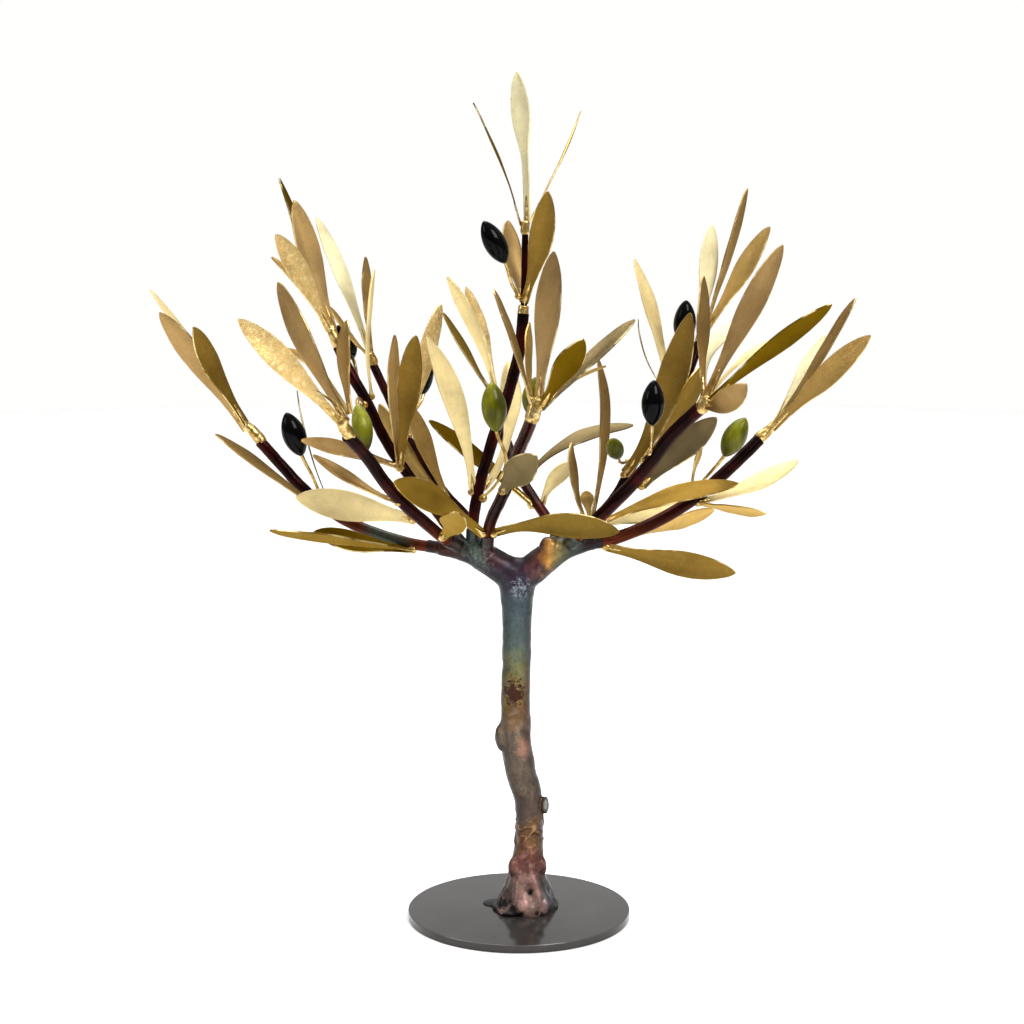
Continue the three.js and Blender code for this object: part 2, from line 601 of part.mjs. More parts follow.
// The trunk with its arms, before the rods' sockets are cut, or grown by a clearance.
function trunkBlank(growth = 0) {
  const limbs = [trunk.stem, trunk.leftArm, trunk.rightArm].map((stations) => limb(stations, growth, 0.025));
  return joined([...limbs, ...trunk.knots.map(knotSolid), skirtSolid()]);
}

const rodRooms = Object.values(rods).map((rod) => rodSolid(rod, clearance));
const baseRoom = baseSolid(clearance);
const trunkRoom = trunkBlank(clearance);

const sculpture = new THREE.Group();
sculpture.add(meshOf("base_plate", baseSolid(), finishes.base_plate));
sculpture.add(meshOf("trunk", cutBy(trunkBlank(), [...rodRooms, baseRoom]), finishes.trunk));

const branches = new THREE.Group();
for (const [name, rod] of Object.entries(rods)) branches.add(meshOf(name, rodSolid(rod), finishes.rod));
sculpture.add(branches);

const foliage = new THREE.Group();
for (const [name, { beads, blades }] of Object.entries(leaves)) {
  const brass = joined([...beads.map((spot) => bead(spot)), ...blades.map(leafSolid)]);
  foliage.add(meshOf(name, cutBy(brass, [...rodRooms, trunkRoom]), finishes.leaf));
}
sculpture.add(foliage);

const fruit = new THREE.Group();
const sleeveRooms = leaves.leaves_centre.beads.map((spot) => bead(spot, clearance));
for (const [name, olive] of Object.entries(olives)) {
  const solid = cutBy(oliveSolid(olive), [...rodRooms, ...sleeveRooms]);
  fruit.add(meshOf(name, solid, name.includes("black") ? finishes.black : finishes.green));
}
sculpture.add(fruit);

export default sculpture;
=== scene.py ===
import bpy
import math
from mathutils import Matrix, Quaternion, Vector, noise


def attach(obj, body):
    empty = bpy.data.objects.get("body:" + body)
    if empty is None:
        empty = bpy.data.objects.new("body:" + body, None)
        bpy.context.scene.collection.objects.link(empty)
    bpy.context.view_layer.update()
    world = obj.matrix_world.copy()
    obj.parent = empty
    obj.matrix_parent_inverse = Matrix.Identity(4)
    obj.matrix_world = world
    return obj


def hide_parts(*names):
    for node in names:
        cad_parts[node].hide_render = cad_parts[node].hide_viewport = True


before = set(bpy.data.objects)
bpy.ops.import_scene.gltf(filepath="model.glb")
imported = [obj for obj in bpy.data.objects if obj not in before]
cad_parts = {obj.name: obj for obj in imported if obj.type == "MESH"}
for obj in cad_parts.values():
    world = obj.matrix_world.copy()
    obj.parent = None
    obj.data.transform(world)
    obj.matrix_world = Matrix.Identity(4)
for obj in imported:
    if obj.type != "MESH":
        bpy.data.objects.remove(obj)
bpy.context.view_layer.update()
bpy.ops.object.select_all(action="DESELECT")
print("frame loaded")

mm = 0.001
# the viewpoint that the tables are lined up from; their heights start 2 mm under the base
seenFrom = {"distance": 1200, "height": 420, "zeroLevel": -2}

# camera, lights and floor
camera = {"place": (-3.4, -1200, 418), "pitch": 10.19, "focal": 2542, "imageWidth": 1024, "sensor": 36}
lights = {
    # place, aim, size and power
    "keyLight": ((800, -950, 1250), (0, 0, 220), 700, 21),
    "topLight": ((-200, 500, 1700), (0, 0, 260), 1300, 24),
    "leftLight": ((-1300, -450, 800), (0, 0, 200), 500, 3),
}
sky = {
    "seen": 1.0, "backdrop": (1, 1, 0.99, 1), "low": 0.25, "horizon": 0.34, "top": 1.08,
    "front": 0.5, "side": 0.9, "back": 1.1,
}
floor = {"radius": 1900, "rim": 500, "sides": 96, "colour": (0.97, 0.97, 0.965), "grain": 0.985}


def aimed(start, target):
    return (Vector(target) - Vector(start)).to_track_quat("-Z", "Y")


def setCamera():
    data = bpy.data.cameras.new("camera")
    data.sensor_width = camera["sensor"]
    data.lens = camera["focal"] / camera["imageWidth"] * camera["sensor"]
    seer = bpy.data.objects.new("camera", data)
    seer.location = Vector(camera["place"]) * mm
    seer.rotation_euler = (math.radians(90 - camera["pitch"]), 0, 0)
    bpy.context.scene.collection.objects.link(seer)
    bpy.context.scene.camera = seer


def setLights():
    for name, (start, target, size, power) in lights.items():
        bpy.ops.object.light_add(type="AREA", location=Vector(start) * mm)
        lamp = bpy.context.object
        lamp.name = name
        lamp.data.size = size * mm
        lamp.data.energy = power
        lamp.rotation_euler = aimed(start, target).to_euler()


# small helpers for shader nodes
def screen(red, green, blue):
    # a colour as it looks on the screen, 0 to 255, made linear
    shares = (red / 255, green / 255, blue / 255)
    return tuple(((c + 0.055) / 1.055) ** 2.4 if c > 0.04 else c / 12.92 for c in shares)


def tones(*stops):
    # stops for a ramp, with colours as they look on the screen
    return [(at, screen(*tone)) for at, tone in stops]


def addNode(tree, kind, inputs=None, **settings):
    made = tree.nodes.new("ShaderNode" + kind)
    for setting, value in settings.items():
        setattr(made, setting, value)
    for socket, value in (inputs or {}).items():
        if isinstance(value, bpy.types.NodeSocket):
            tree.links.new(value, made.inputs[socket])
        else:
            made.inputs[socket].default_value = value
    return made


def ramp(tree, factor, stops):
    made = addNode(tree, "ValToRGB", {"Fac": factor})
    while len(made.color_ramp.elements) < len(stops):
        made.color_ramp.elements.new(1.0)
    for element, (position, colour) in zip(made.color_ramp.elements, stops):
        element.position = position
        element.color = (*colour, 1) if isinstance(colour, tuple) else (colour, colour, colour, 1)
    return made.outputs["Color"]


def mixColours(tree, factor, first, second, mode="MIX"):
    made = addNode(tree, "Mix", {"Factor": factor}, data_type="RGBA", blend_type=mode)
    for socket, value in ((made.inputs[6], first), (made.inputs[7], second)):
        if isinstance(value, bpy.types.NodeSocket):
            tree.links.new(value, socket)
        else:
            socket.default_value = (*value, 1)
    return made.outputs[2]


def shaded(tree, colour, by):
    return mixColours(tree, 1.0, colour, by, "MULTIPLY")


def calculated(tree, operation, first, second, clamp=False):
    return addNode(tree, "Math", {0: first, 1: second}, operation=operation, use_clamp=clamp).outputs[0]


def plus(tree, first, second):
    return calculated(tree, "ADD", first, second)


def less(tree, first, second):
    return calculated(tree, "SUBTRACT", first, second)


def times(tree, first, second, clamp=False):
    return calculated(tree, "MULTIPLY", first, second, clamp)


def axesOf(tree, vector):
    return addNode(tree, "SeparateXYZ", {0: vector}).outputs


def stretched(tree, vector, scale):
    return addNode(tree, "Mapping", {"Vector": vector, "Scale": scale}).outputs["Vector"]


def painted(tree, name, output="Fac"):
    return addNode(tree, "Attribute", attribute_name=name).outputs[output]


def noiseAt(tree, place, scale, detail=4.0, rough=0.55, distortion=0.0):
    return addNode(tree, "TexNoise", {
        "Vector": place, "Scale": scale, "Detail": detail, "Roughness": rough, "Distortion": distortion,
    }).outputs["Fac"]


def newFinish(name, sockets):
    finish = bpy.data.materials.new(name)
    finish.use_nodes = True
    tree = finish.node_tree
    shader = tree.nodes["Principled BSDF"]
    for socket, value in sockets.items():
        shader.inputs[socket].default_value = value
    place = addNode(tree, "TexCoord").outputs["Object"]
    return finish, tree, shader, place


def dress(tree, shader, colour, rough):
    tree.links.new(colour, shader.inputs["Base Color"])
    tree.links.new(rough, shader.inputs["Roughness"])


def addBump(tree, shader, height, strength, distance):
    bump = addNode(tree, "Bump", {"Strength": strength, "Distance": distance, "Height": height})
    tree.links.new(bump.outputs["Normal"], shader.inputs["Normal"])


def setSky():
    world = bpy.data.worlds.new("sky")
    bpy.context.scene.world = world
    world.use_nodes = True
    tree = world.node_tree
    tree.nodes.clear()
    direction = axesOf(tree, addNode(tree, "TexCoord").outputs["Generated"])
    height = plus(tree, times(tree, direction["Z"], 0.5), 0.5)
    glow = ramp(tree, height, [(0.0, sky["low"]), (0.5, sky["horizon"]), (1.0, sky["top"])])
    # the room is darker on the viewer's side than behind the tree
    depth = plus(tree, times(tree, direction["Y"], 0.5), 0.5)
    room = ramp(tree, depth, [(0.0, sky["front"]), (0.45, sky["side"]), (1.0, sky["back"])])
    shown = addNode(tree, "Background", {"Color": sky["backdrop"], "Strength": sky["seen"]})
    lit = addNode(tree, "Background", {"Color": shaded(tree, glow, room), "Strength": 1.0})
    ray = addNode(tree, "LightPath").outputs["Is Camera Ray"]
    both = addNode(tree, "MixShader", {0: ray, 1: lit.outputs[0], 2: shown.outputs[0]})
    addNode(tree, "OutputWorld", {"Surface": both.outputs[0]})


def layFloor():
    bpy.ops.mesh.primitive_circle_add(vertices=floor["sides"], radius=floor["radius"] * mm, fill_type="NGON")
    ground = bpy.context.object
    ground.name = "floor"
    bpy.ops.object.mode_set(mode="EDIT")
    bpy.ops.mesh.select_all(action="SELECT")
    bpy.ops.mesh.inset(thickness=floor["rim"] * mm)
    bpy.ops.object.mode_set(mode="OBJECT")
    paper, tree, shader, place = newFinish("floorPaper", {"Roughness": 0.9, "Specular IOR Level": 0.1})
    darker = tuple(share * floor["grain"] for share in floor["colour"])
    tone = ramp(tree, noiseAt(tree, place, 900), [(0.3, darker), (0.7, floor["colour"])])
    tree.links.new(tone, shader.inputs["Base Color"])
    ground.data.materials.append(paper)
    ground.select_set(False)


setCamera()
setLights()
setSky()
layFloor()
bpy.context.scene.view_settings.view_transform = "Standard"
print("camera, lights, sky and floor set")


# shared making steps
def place(x, y, z):
    # the point at depth y that is seen at x and z in the middle plane
    along = y / seenFrom["distance"]
    return Vector((x * (1 + along), y, z - (seenFrom["height"] - z) * along + seenFrom["zeroLevel"])) * mm


def pick(*things):
    bpy.ops.object.select_all(action="DESELECT")
    for thing in things:
        thing.select_set(True)
    bpy.context.view_layer.objects.active = things[0]
    return things[0]


def joinAll(things, name):
    whole = pick(*things)
    if len(things) > 1:
        bpy.ops.object.join()
    whole.name = whole.data.name = name
    return whole


def settle(piece):
    # the piece's place goes into its mesh
    pick(piece)
    bpy.ops.object.transform_apply(location=True, rotation=True, scale=True)
    return piece


def applyModifier(piece, kind, **settings):
    pick(piece)
    modifier = piece.modifiers.new(kind.lower(), kind)
    for setting, value in settings.items():
        setattr(modifier, setting, value)
    bpy.ops.object.modifier_apply(modifier=modifier.name)


def dentSkin(piece, texture, depth):
    applyModifier(
        piece, "DISPLACE", texture=texture, strength=depth * mm, mid_level=0.5, texture_coords="LOCAL")


def meltTogether(things, name, voxel):
    whole = joinAll(things, name)
    whole.data.remesh_voxel_size = voxel * mm
    bpy.ops.object.voxel_remesh()
    return whole


def copyOf(master):
    copied = master.copy()
    copied.data = master.data.copy()
    bpy.context.scene.collection.objects.link(copied)
    return copied


def cloudTexture(name, size):
    cloud = bpy.data.textures.new(name, "CLOUDS")
    cloud.noise_scale = size * mm
    cloud.noise_depth = 2
    return cloud


def finishPiece(piece, node, angle, finish=None):
    if finish:
        piece.data.materials.clear()
        piece.data.materials.append(finish)
    pick(piece)
    bpy.ops.object.shade_smooth_by_angle(angle=math.radians(angle))
    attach(piece, "root")
    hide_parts(node)
    piece.select_set(False)


def drawWire(name, points, radii, sides=6, steps=6):
    # a round wire through the points, with its own radius at each
    bpy.ops.curve.primitive_bezier_curve_add(location=(0, 0, 0))
    wire = bpy.context.object
    wire.name = name
    wire.data.dimensions = "3D"
    wire.data.resolution_u = steps
    wire.data.bevel_depth = 1.0
    wire.data.bevel_resolution = sides
    wire.data.use_fill_caps = True
    spline = wire.data.splines[0]
    spline.bezier_points.add(len(points) - len(spline.bezier_points))
    for knot, point, radius in zip(spline.bezier_points, points, radii):
        knot.co = point
        knot.handle_left_type = knot.handle_right_type = "AUTO"
        knot.radius = radius * mm
    pick(wire)
    bpy.ops.object.convert(target="MESH")
    return bpy.context.object


def roundDrop(centre, radius, finesse=2):
    # a drop of braze, up to an eighth out of round
    bpy.ops.mesh.primitive_ico_sphere_add(subdivisions=finesse, radius=radius * mm, location=centre)
    drop = bpy.context.object
    uneven = noise.noise_vector(Vector(centre) * 400) * 0.12
    drop.scale = (1 + uneven.x, 1 + uneven.y, 1 + uneven.z)
    return settle(drop)


# base plate
basePlate = {"diameter": 109, "thickness": 4, "rim": 2, "edge": 0.35, "sides": 160}


def steelFinish():
    steel, tree, shader, place = newFinish("blackSteel", {"Metallic": 0.8, "Specular IOR Level": 0.4})
    fine = noiseAt(tree, place, 1400, 3)
    broad = noiseAt(tree, place, 45, 5, 0.6)
    grain = plus(tree, times(tree, fine, 0.4), times(tree, broad, 0.6))
    tone = ramp(tree, grain, tones((0.3, (84, 80, 79)), (0.55, (94, 91, 89)), (0.75, (106, 103, 101))))
    # the side and underside are half as bright as the top face
    level = times(tree, axesOf(tree, place)["Z"], 1 / (basePlate["thickness"] * mm))
    tone = shaded(tree, tone, ramp(tree, level, [(0.86, 0.5), (0.93, 1.0)]))
    dress(tree, shader, tone, ramp(tree, broad, [(0.3, 0.12), (0.7, 0.18)]))
    addBump(tree, shader, fine, 0.1, 0.03 * mm)
    return steel


def makeBasePlate():
    height = basePlate["thickness"] * mm
    bpy.ops.mesh.primitive_cylinder_add(
        vertices=basePlate["sides"], radius=basePlate["diameter"] / 2 * mm, depth=height,
        location=(0, 0, height / 2))
    plate = settle(bpy.context.object)
    plate.name = "base_plate_steel"
    bpy.ops.object.mode_set(mode="EDIT")
    bpy.ops.mesh.select_all(action="DESELECT")
    bpy.ops.object.mode_set(mode="OBJECT")
    for face in plate.data.polygons:
        face.select = abs(face.normal.z) > 0.9
    bpy.ops.object.mode_set(mode="EDIT")
    bpy.ops.mesh.inset(thickness=basePlate["rim"] * mm)
    bpy.ops.object.mode_set(mode="OBJECT")
    applyModifier(plate, "BEVEL", width=basePlate["edge"] * mm, segments=3, limit_method="ANGLE")
    finishPiece(plate, "base_plate", 30, steelFinish())


makeBasePlate()
print("base plate made")

# rods: thickness and route from the outer end down into the arm
rods = {
    "rod_far_left": (5.6, [
        (-123.6, 28, 238.6), (-112, 27, 225.2), (-105, 25, 217.4), (-91.8, 21, 205.8), (-82, 18, 199.6),
        (-66, 13, 193), (-50, 8, 188.5), (-36, 3, 186.5)]),
    "rod_left_front": (6, [
        (-82, -55, 241), (-73, -44, 231), (-63.5, -33, 217.5), (-56, -25, 209), (-45, -15, 199),
        (-36, -8, 191.5), (-29, -2.5, 187.5)]),
    "rod_left_middle": (5.2, [
        (-86, 14, 284), (-82, 13, 275), (-73, 11, 258.5), (-64, 9, 239.5), (-57.5, 8, 229), (-51, 7.5, 219.5),
        (-40, 7, 205), (-32, 6, 194), (-26.5, 4, 188)]),
    "rod_left_back": (4.2, [
        (-69, 50, 275), (-64, 45, 264), (-54, 33, 242), (-40, 19, 220), (-34, 15, 212), (-24, 10, 201),
        (-18.5, 5.5, 193), (-17, 3, 186.5)]),
    "rod_centre_lower": (5.6, [
        (2, 12, 299.5), (0.2, 10, 282), (-2.8, 9, 270), (-6, 7, 258.5), (-11.8, 4, 242), (-14.8, 3, 232),
        (-19.5, 1, 215), (-22, 0, 199), (-22.5, 0, 187)]),
    "rod_centre_upper": (3.2, [(2.8, 15, 338), (2.6, 14, 322), (2.2, 12.4, 300.4)]),
    "rod_front": (5.8, [
        (6, -82, 250), (3, -70, 242), (0, -58, 235), (-4, -42, 223), (-7.8, -30, 212.5), (-12.9, -16, 201.5),
        (-14.8, -8, 194.5), (-15.5, -3, 186.5)]),
    "rod_back": (5.2, [
        (-10.5, 85, 256), (-8, 72, 244), (-4.8, 62, 235.6), (1, 42, 221), (7.6, 27, 210), (14, 14, 200),
        (17.5, 6, 192), (16.5, 3.5, 186.5)]),
    "rod_right_front": (6.4, [
        (86, -47, 254.5), (72, -39, 241), (64, -33, 230), (55, -27, 219), (45.5, -20, 209),
        (36.6, -13, 200), (28, -7, 192.5), (24, -3.5, 188.5)]),
    "rod_right_back": (4.6, [
        (85.5, 43, 286), (83, 40, 278.5), (78.3, 35.5, 266), (70.5, 29, 251.5), (63, 23.5, 239.5),
        (53.5, 16, 225.5), (46.4, 11, 212.5), (39.5, 7.5, 204), (30, 5, 195.5), (23, 3, 189)]),
    "rod_far_right": (6.2, [
        (114.6, 25, 239.5), (105, 21, 229.6), (95, 17, 220.2), (85.4, 13, 212), (70.2, 8, 202),
        (50.5, 3, 193), (40, 1, 190), (31, 0.5, 189.2)]),
}
rodSkin = {"sides": 5, "steps": 7, "dentSize": 7, "dentDepth": 0.45}


def rodFinish():
    patina, tree, shader, place = newFinish("darkRedPatina", {
        "Metallic": 0.4, "IOR": 1.3, "Specular IOR Level": 0.25, "Specular Tint": (0.9, 0.6, 0.55, 1)})
    broad = noiseAt(tree, place, 60, 5, 0.6)
    fine = noiseAt(tree, place, 700, 5, 0.65)
    tone = ramp(tree, broad, tones(
        (0.34, (9, 4, 4)), (0.48, (26, 8, 8)), (0.62, (54, 13, 12)), (0.74, (18, 7, 7))))
    # the metal is browner near the arms, where the torch heated it longest
    spot = axesOf(tree, place)
    height = times(tree, less(tree, spot["Z"], 0.18), 20)
    heat = ramp(tree, height, [(0.1, 0.9), (0.5, 0.0)])
    tone = mixColours(tree, times(tree, heat, broad), tone, screen(124, 58, 30))
    # and blue-green further out on the lowest rod of the left side
    side = plus(tree, times(tree, spot["X"], 10), 1)
    left = ramp(tree, side, [(0.22, 0.0), (0.3, 0.8), (0.43, 0.8), (0.5, 0.0)])
    low = ramp(tree, height, [(0.28, 1.0), (0.44, 0.0)])
    tone = mixColours(tree, times(tree, left, low), tone, screen(58, 74, 66))
    tone = shaded(tree, tone, ramp(tree, fine, [(0.3, 0.65), (0.65, 1.0)]))
    dress(tree, shader, tone, ramp(tree, fine, [(0.3, 0.16), (0.7, 0.26)]))
    addBump(tree, shader, plus(tree, fine, broad), 0.3, 0.2 * mm)
    return patina


def makeRods():
    patina = rodFinish()
    dents = cloudTexture("rodDents", rodSkin["dentSize"])
    for node, (thickness, route) in rods.items():
        points, radii = [place(*point) for point in route], [thickness / 2] * len(route)
        rod = drawWire(node + "_patina", points, radii, rodSkin["sides"], rodSkin["steps"])
        dentSkin(rod, dents, rodSkin["dentDepth"])
        finishPiece(rod, node, 60, patina)


makeRods()
print("rods made")

# trunk: x, y, z and radius, in the tables' heights
trunk = {
    "stem": [
        (3.8, 0, 5.4, 14.2), (3.9, 0, 8.6, 14.6), (4, 0, 11, 14), (4, 0, 14, 12.6), (4, 0, 18, 10.6),
        (4, 0.2, 23, 9.1), (4.2, 0.3, 29, 8), (4.7, 0.5, 37, 7.1), (5.3, 0.5, 52, 6.9), (4.2, 0, 64, 7),
        (1.6, -0.5, 73, 7.3), (0, -1, 81, 7.6), (-1.4, -1, 92, 7.5), (-1.7, -1, 101, 7.2),
        (-1.5, -0.5, 118, 7.1), (-1.2, 0, 135, 7.1), (-1, 0, 152, 7.1), (-1, 0, 162, 8), (-1, 0, 170, 9.3),
        (-1.2, 0, 176, 6.5),
    ],
    "leftArm": [
        (1, 0, 168, 8), (-2, 0, 172, 8.8), (-9.5, 0, 177.5, 7.5), (-18.8, 0, 183, 6.6),
        (-26, 0.5, 185.3, 5.6), (-33, 1.5, 186.2, 4.4), (-39, 2.5, 186.6, 3.6),
    ],
    "rightArm": [
        (-3, 0, 168, 8), (0, 0, 171.5, 8.8), (6, 0, 176, 7.5), (12.4, 0, 181, 7.1), (19.6, 0, 186, 6.4),
        (26.8, 0.2, 188, 5), (32, 0.4, 189, 4.2), (36.5, 0.6, 189.4, 3.7),
    ],
    # knots and lumps: place, then the three radii
    "knots": [
        (-7.9, -1.5, 93, 4, 4.8, 7), (12.8, -3, 59.4, 2, 3, 4.6), (-1.8, -3, 28, 3.6, 4.2, 5.4),
        (9.8, -2, 28, 3.8, 4.2, 5), (14.6, -2, 188, 5, 5, 4.6), (-12.6, 7, 5.9, 5.6, 6, 1.5),
        (5, 10, 12, 6.4, 5, 5.4), (-1.5, 0, 177.2, 8, 6, 5),
    ],
    "skirt": {"place": (3.2, 0.5), "radius": 15.6, "height": 1.7, "sides": 72},
    # sleeves of bronze round the rods that end in the arms
    "sleeve": {"length": 9, "wall": 0.5, "below": 190},
    "sides": 10, "voxel": 0.75, "cutGap": 0.05,
}
# hand-worked surface, depths and sizes in mm
trunkWork = {
    "centre": 4, "dents": ((0.42, 0.13), (0.14, 0.42)),
    "foot": {"top": 38, "fade": 24, "bottom": 4.6, "edge": 4, "grooves": 6, "depth": 0.55, "streaks": 0.7},
    "folds": {"at": 44, "spread": 8, "depth": 0.9, "width": 0.13, "hollow": 0.3},
    "collar": {"at": 99, "spread": 4, "depth": 0.45},
    "pit": {"place": (5.9, 15.5), "radius": 1.05, "depth": 1.6},
}
# bands of patina up the stem and across the arms, two of them painted light
stemBands = (
    # the nearly black first band is painted shade where the foot meets the plate
    (0.028, (20, 14, 13)), (0.042, (140, 112, 100)), (0.08, (126, 96, 88)), (0.12, (118, 78, 70)),
    (0.17, (112, 64, 54)), (0.2, (132, 92, 58)), (0.25, (118, 88, 60)), (0.275, (92, 76, 68)),
    # the paler band at 0.485, on the collar, is painted highlight
    (0.34, (102, 86, 72)), (0.47, (106, 92, 78)), (0.485, (134, 112, 92)), (0.515, (112, 82, 48)),
    (0.58, (134, 112, 64)), (0.63, (116, 116, 78)), (0.68, (84, 96, 92)), (0.78, (70, 84, 90)),
    (0.84, (52, 46, 58)),
)
armBands = (
    (0.02, (58, 28, 20)), (0.14, (74, 34, 26)), (0.22, (62, 72, 66)), (0.3, (84, 96, 86)),
    (0.36, (72, 36, 40)), (0.46, (56, 34, 46)), (0.56, (60, 42, 60)), (0.63, (112, 66, 60)),
    (0.7, (206, 146, 66)), (0.76, (124, 114, 70)), (0.83, (78, 86, 78)), (0.9, (36, 24, 24)),
)
# patches of patina: colour, place, reach, how torn the edge is, how fine the tears are and how strongly
# it shows
bronzePatches = {
    "copperPink": ((178, 128, 106), (4.2, -7.4, 87), 6.2, 16, 260, 0.7),
    "reddishEdge": ((124, 62, 50), (5, -3, 108), 26, 10, 300, 1.0),
    # a painted reflection of the surroundings on the right slope of the foot
    "footReflection": ((118, 116, 124), (17, -4, 12), 11, 8, 300, 0.7),
    # near black on the low lump at the back left of the foot
    "blackBraze": ((18, 13, 12), (-12.5, 3, 5.5), 8.5, 4, 300, 0.96),
    "redBlotch": ((58, 22, 18), (-3, -7.5, 115.2), 6.2, 26, 480, 0.95),
    "neckFlecks": ((176, 190, 200), (1.5, -8.5, 166), 7.2, 12, 200, 0.6),
    "armFlecks": ((150, 162, 150), (-19, -6, 181), 9, 10, 300, 0.45),
    "greenSockets": ((80, 84, 66), (14.5, 2, 189.5), 7.5, 6, 300, 0.85),
    "bareScar": ((160, 162, 158), (14.5, -4, 57.5), 4.2, 0, 300, 0.9),
    # a painted highlight on the crests of the folds
    "foldHighlight": ((206, 160, 112), (5, -4, 43), 12, 4, 300, 0.45),
}


def stemPoint(x, y, z):
    return Vector((x, y, z + seenFrom["zeroLevel"])) * mm


def makeSkirt():
    # metal that ran out over the base round the foot
    skirt = trunk["skirt"]
    bottom = basePlate["thickness"]
    bpy.ops.mesh.primitive_cylinder_add(
        vertices=skirt["sides"], radius=skirt["radius"] * mm, depth=skirt["height"] * mm,
        location=Vector((*skirt["place"], bottom + skirt["height"] / 2)) * mm)
    puddle = settle(bpy.context.object)
    middle = Vector((*skirt["place"], 0)) * mm
    for vertex in puddle.data.vertices:
        arm = vertex.co - middle
        angle = math.atan2(arm.y, arm.x)
        lobes = 0.07 * math.sin(2 * angle + 0.6) + 0.05 * math.sin(5 * angle) - 0.03 * math.sin(9 * angle)
        vertex.co.x = middle.x + arm.x * (1 + lobes)
        vertex.co.y = middle.y + arm.y * (1 + lobes)
    return puddle


def between(value):
    return max(0.0, min(1.0, value))


def bandAt(height, band):
    return math.exp(-((height - band["at"]) / band["spread"]) ** 2)


def workTrunk(skin):
    # soft dents all over, folds low on the stem, a collar above the knot and grooves down the foot
    normals = [vertex.normal.copy() for vertex in skin.data.vertices]
    foot, folds, collar, pit = (trunkWork[name] for name in ("foot", "folds", "collar", "pit"))
    relief = []
    for vertex, normal in zip(skin.data.vertices, normals):
        spot = vertex.co / mm
        angle = math.atan2(spot.y, spot.x - trunkWork["centre"])
        push = sum(depth * noise.noise(spot * fineness) for depth, fineness in trunkWork["dents"])
        inFoot = between((foot["top"] - spot.z) / foot["fade"])
        inFoot *= between((spot.z - foot["bottom"]) / foot["edge"])
        groove = math.sin(foot["grooves"] * angle + 0.1 * spot.z + 2.5 * noise.noise(spot * 0.06))
        streak = noise.noise(Vector((spot.x * 0.3, spot.y * 0.3, spot.z * 0.1)))
        push += inFoot * (foot["depth"] * groove + foot["streaks"] * streak)
        # the folds are thin and raised, and run aslant round the stem
        fold = noise.noise(Vector((spot.x * 0.2 + spot.z * 0.16, spot.y * 0.2, spot.z * 0.24 - spot.x * 0.1)))
        raised = folds["depth"] * math.exp(-(fold / folds["width"]) ** 2) - folds["hollow"]
        push += bandAt(spot.z, folds) * raised
        push += collar["depth"] * bandAt(spot.z, collar) * (0.4 + noise.noise(spot * 0.25))
        # one round pit in the front of the foot
        away = (spot.xz - Vector(pit["place"])).length / pit["radius"]
        hole = math.exp(-away ** 4) if normal.y < 0 else 0.0
        relief.append(between(0.5 + push * 0.45) * (1 - hole))
        push -= pit["depth"] * hole
        vertex.co += normal * push * mm
    field = skin.data.attributes.new("relief", "FLOAT", "POINT")
    field.data.foreach_set("value", relief)


def makeTrunk():
    limbs = []
    for name in ("stem", "leftArm", "rightArm"):
        points, radii = [stemPoint(*s[:3]) for s in trunk[name]], [s[3] for s in trunk[name]]
        limbs.append(drawWire(name, points, radii, trunk["sides"]))
    for *spot, across, deep, tall in trunk["knots"]:
        bpy.ops.mesh.primitive_uv_sphere_add(
            segments=24, ring_count=16, radius=mm, location=stemPoint(*spot))
        lump = bpy.context.object
        lump.scale = (across, deep, tall)
        limbs.append(settle(lump))
    limbs.append(makeSkirt())
    sleeve = trunk["sleeve"]
    for thickness, route in rods.values():
        start, end = place(*route[-2]), place(*route[-1])
        if end.z < sleeve["below"] * mm:
            outer = end.lerp(start, min(1.0, sleeve["length"] * mm / (end - start).length))
            limbs.append(drawWire("sleeve", [outer, end], [thickness / 2 + sleeve["wall"]] * 2, 5, 4))
    skin = meltTogether(limbs, "trunk_bronze", trunk["voxel"])
    applyModifier(skin, "SMOOTH", factor=0.6, iterations=5)
    workTrunk(skin)
    applyModifier(skin, "SMOOTH", factor=0.4, iterations=1)
    # cut off just above the plate
    bpy.ops.object.mode_set(mode="EDIT")
    bpy.ops.mesh.select_all(action="SELECT")
    level = (basePlate["thickness"] + trunk["cutGap"]) * mm
    bpy.ops.mesh.bisect(plane_co=(0, 0, level), plane_no=(0, 0, 1), clear_inner=True, use_fill=True)
    bpy.ops.object.mode_set(mode="OBJECT")
    finishPiece(skin, "trunk", 60, bronzeFinish())


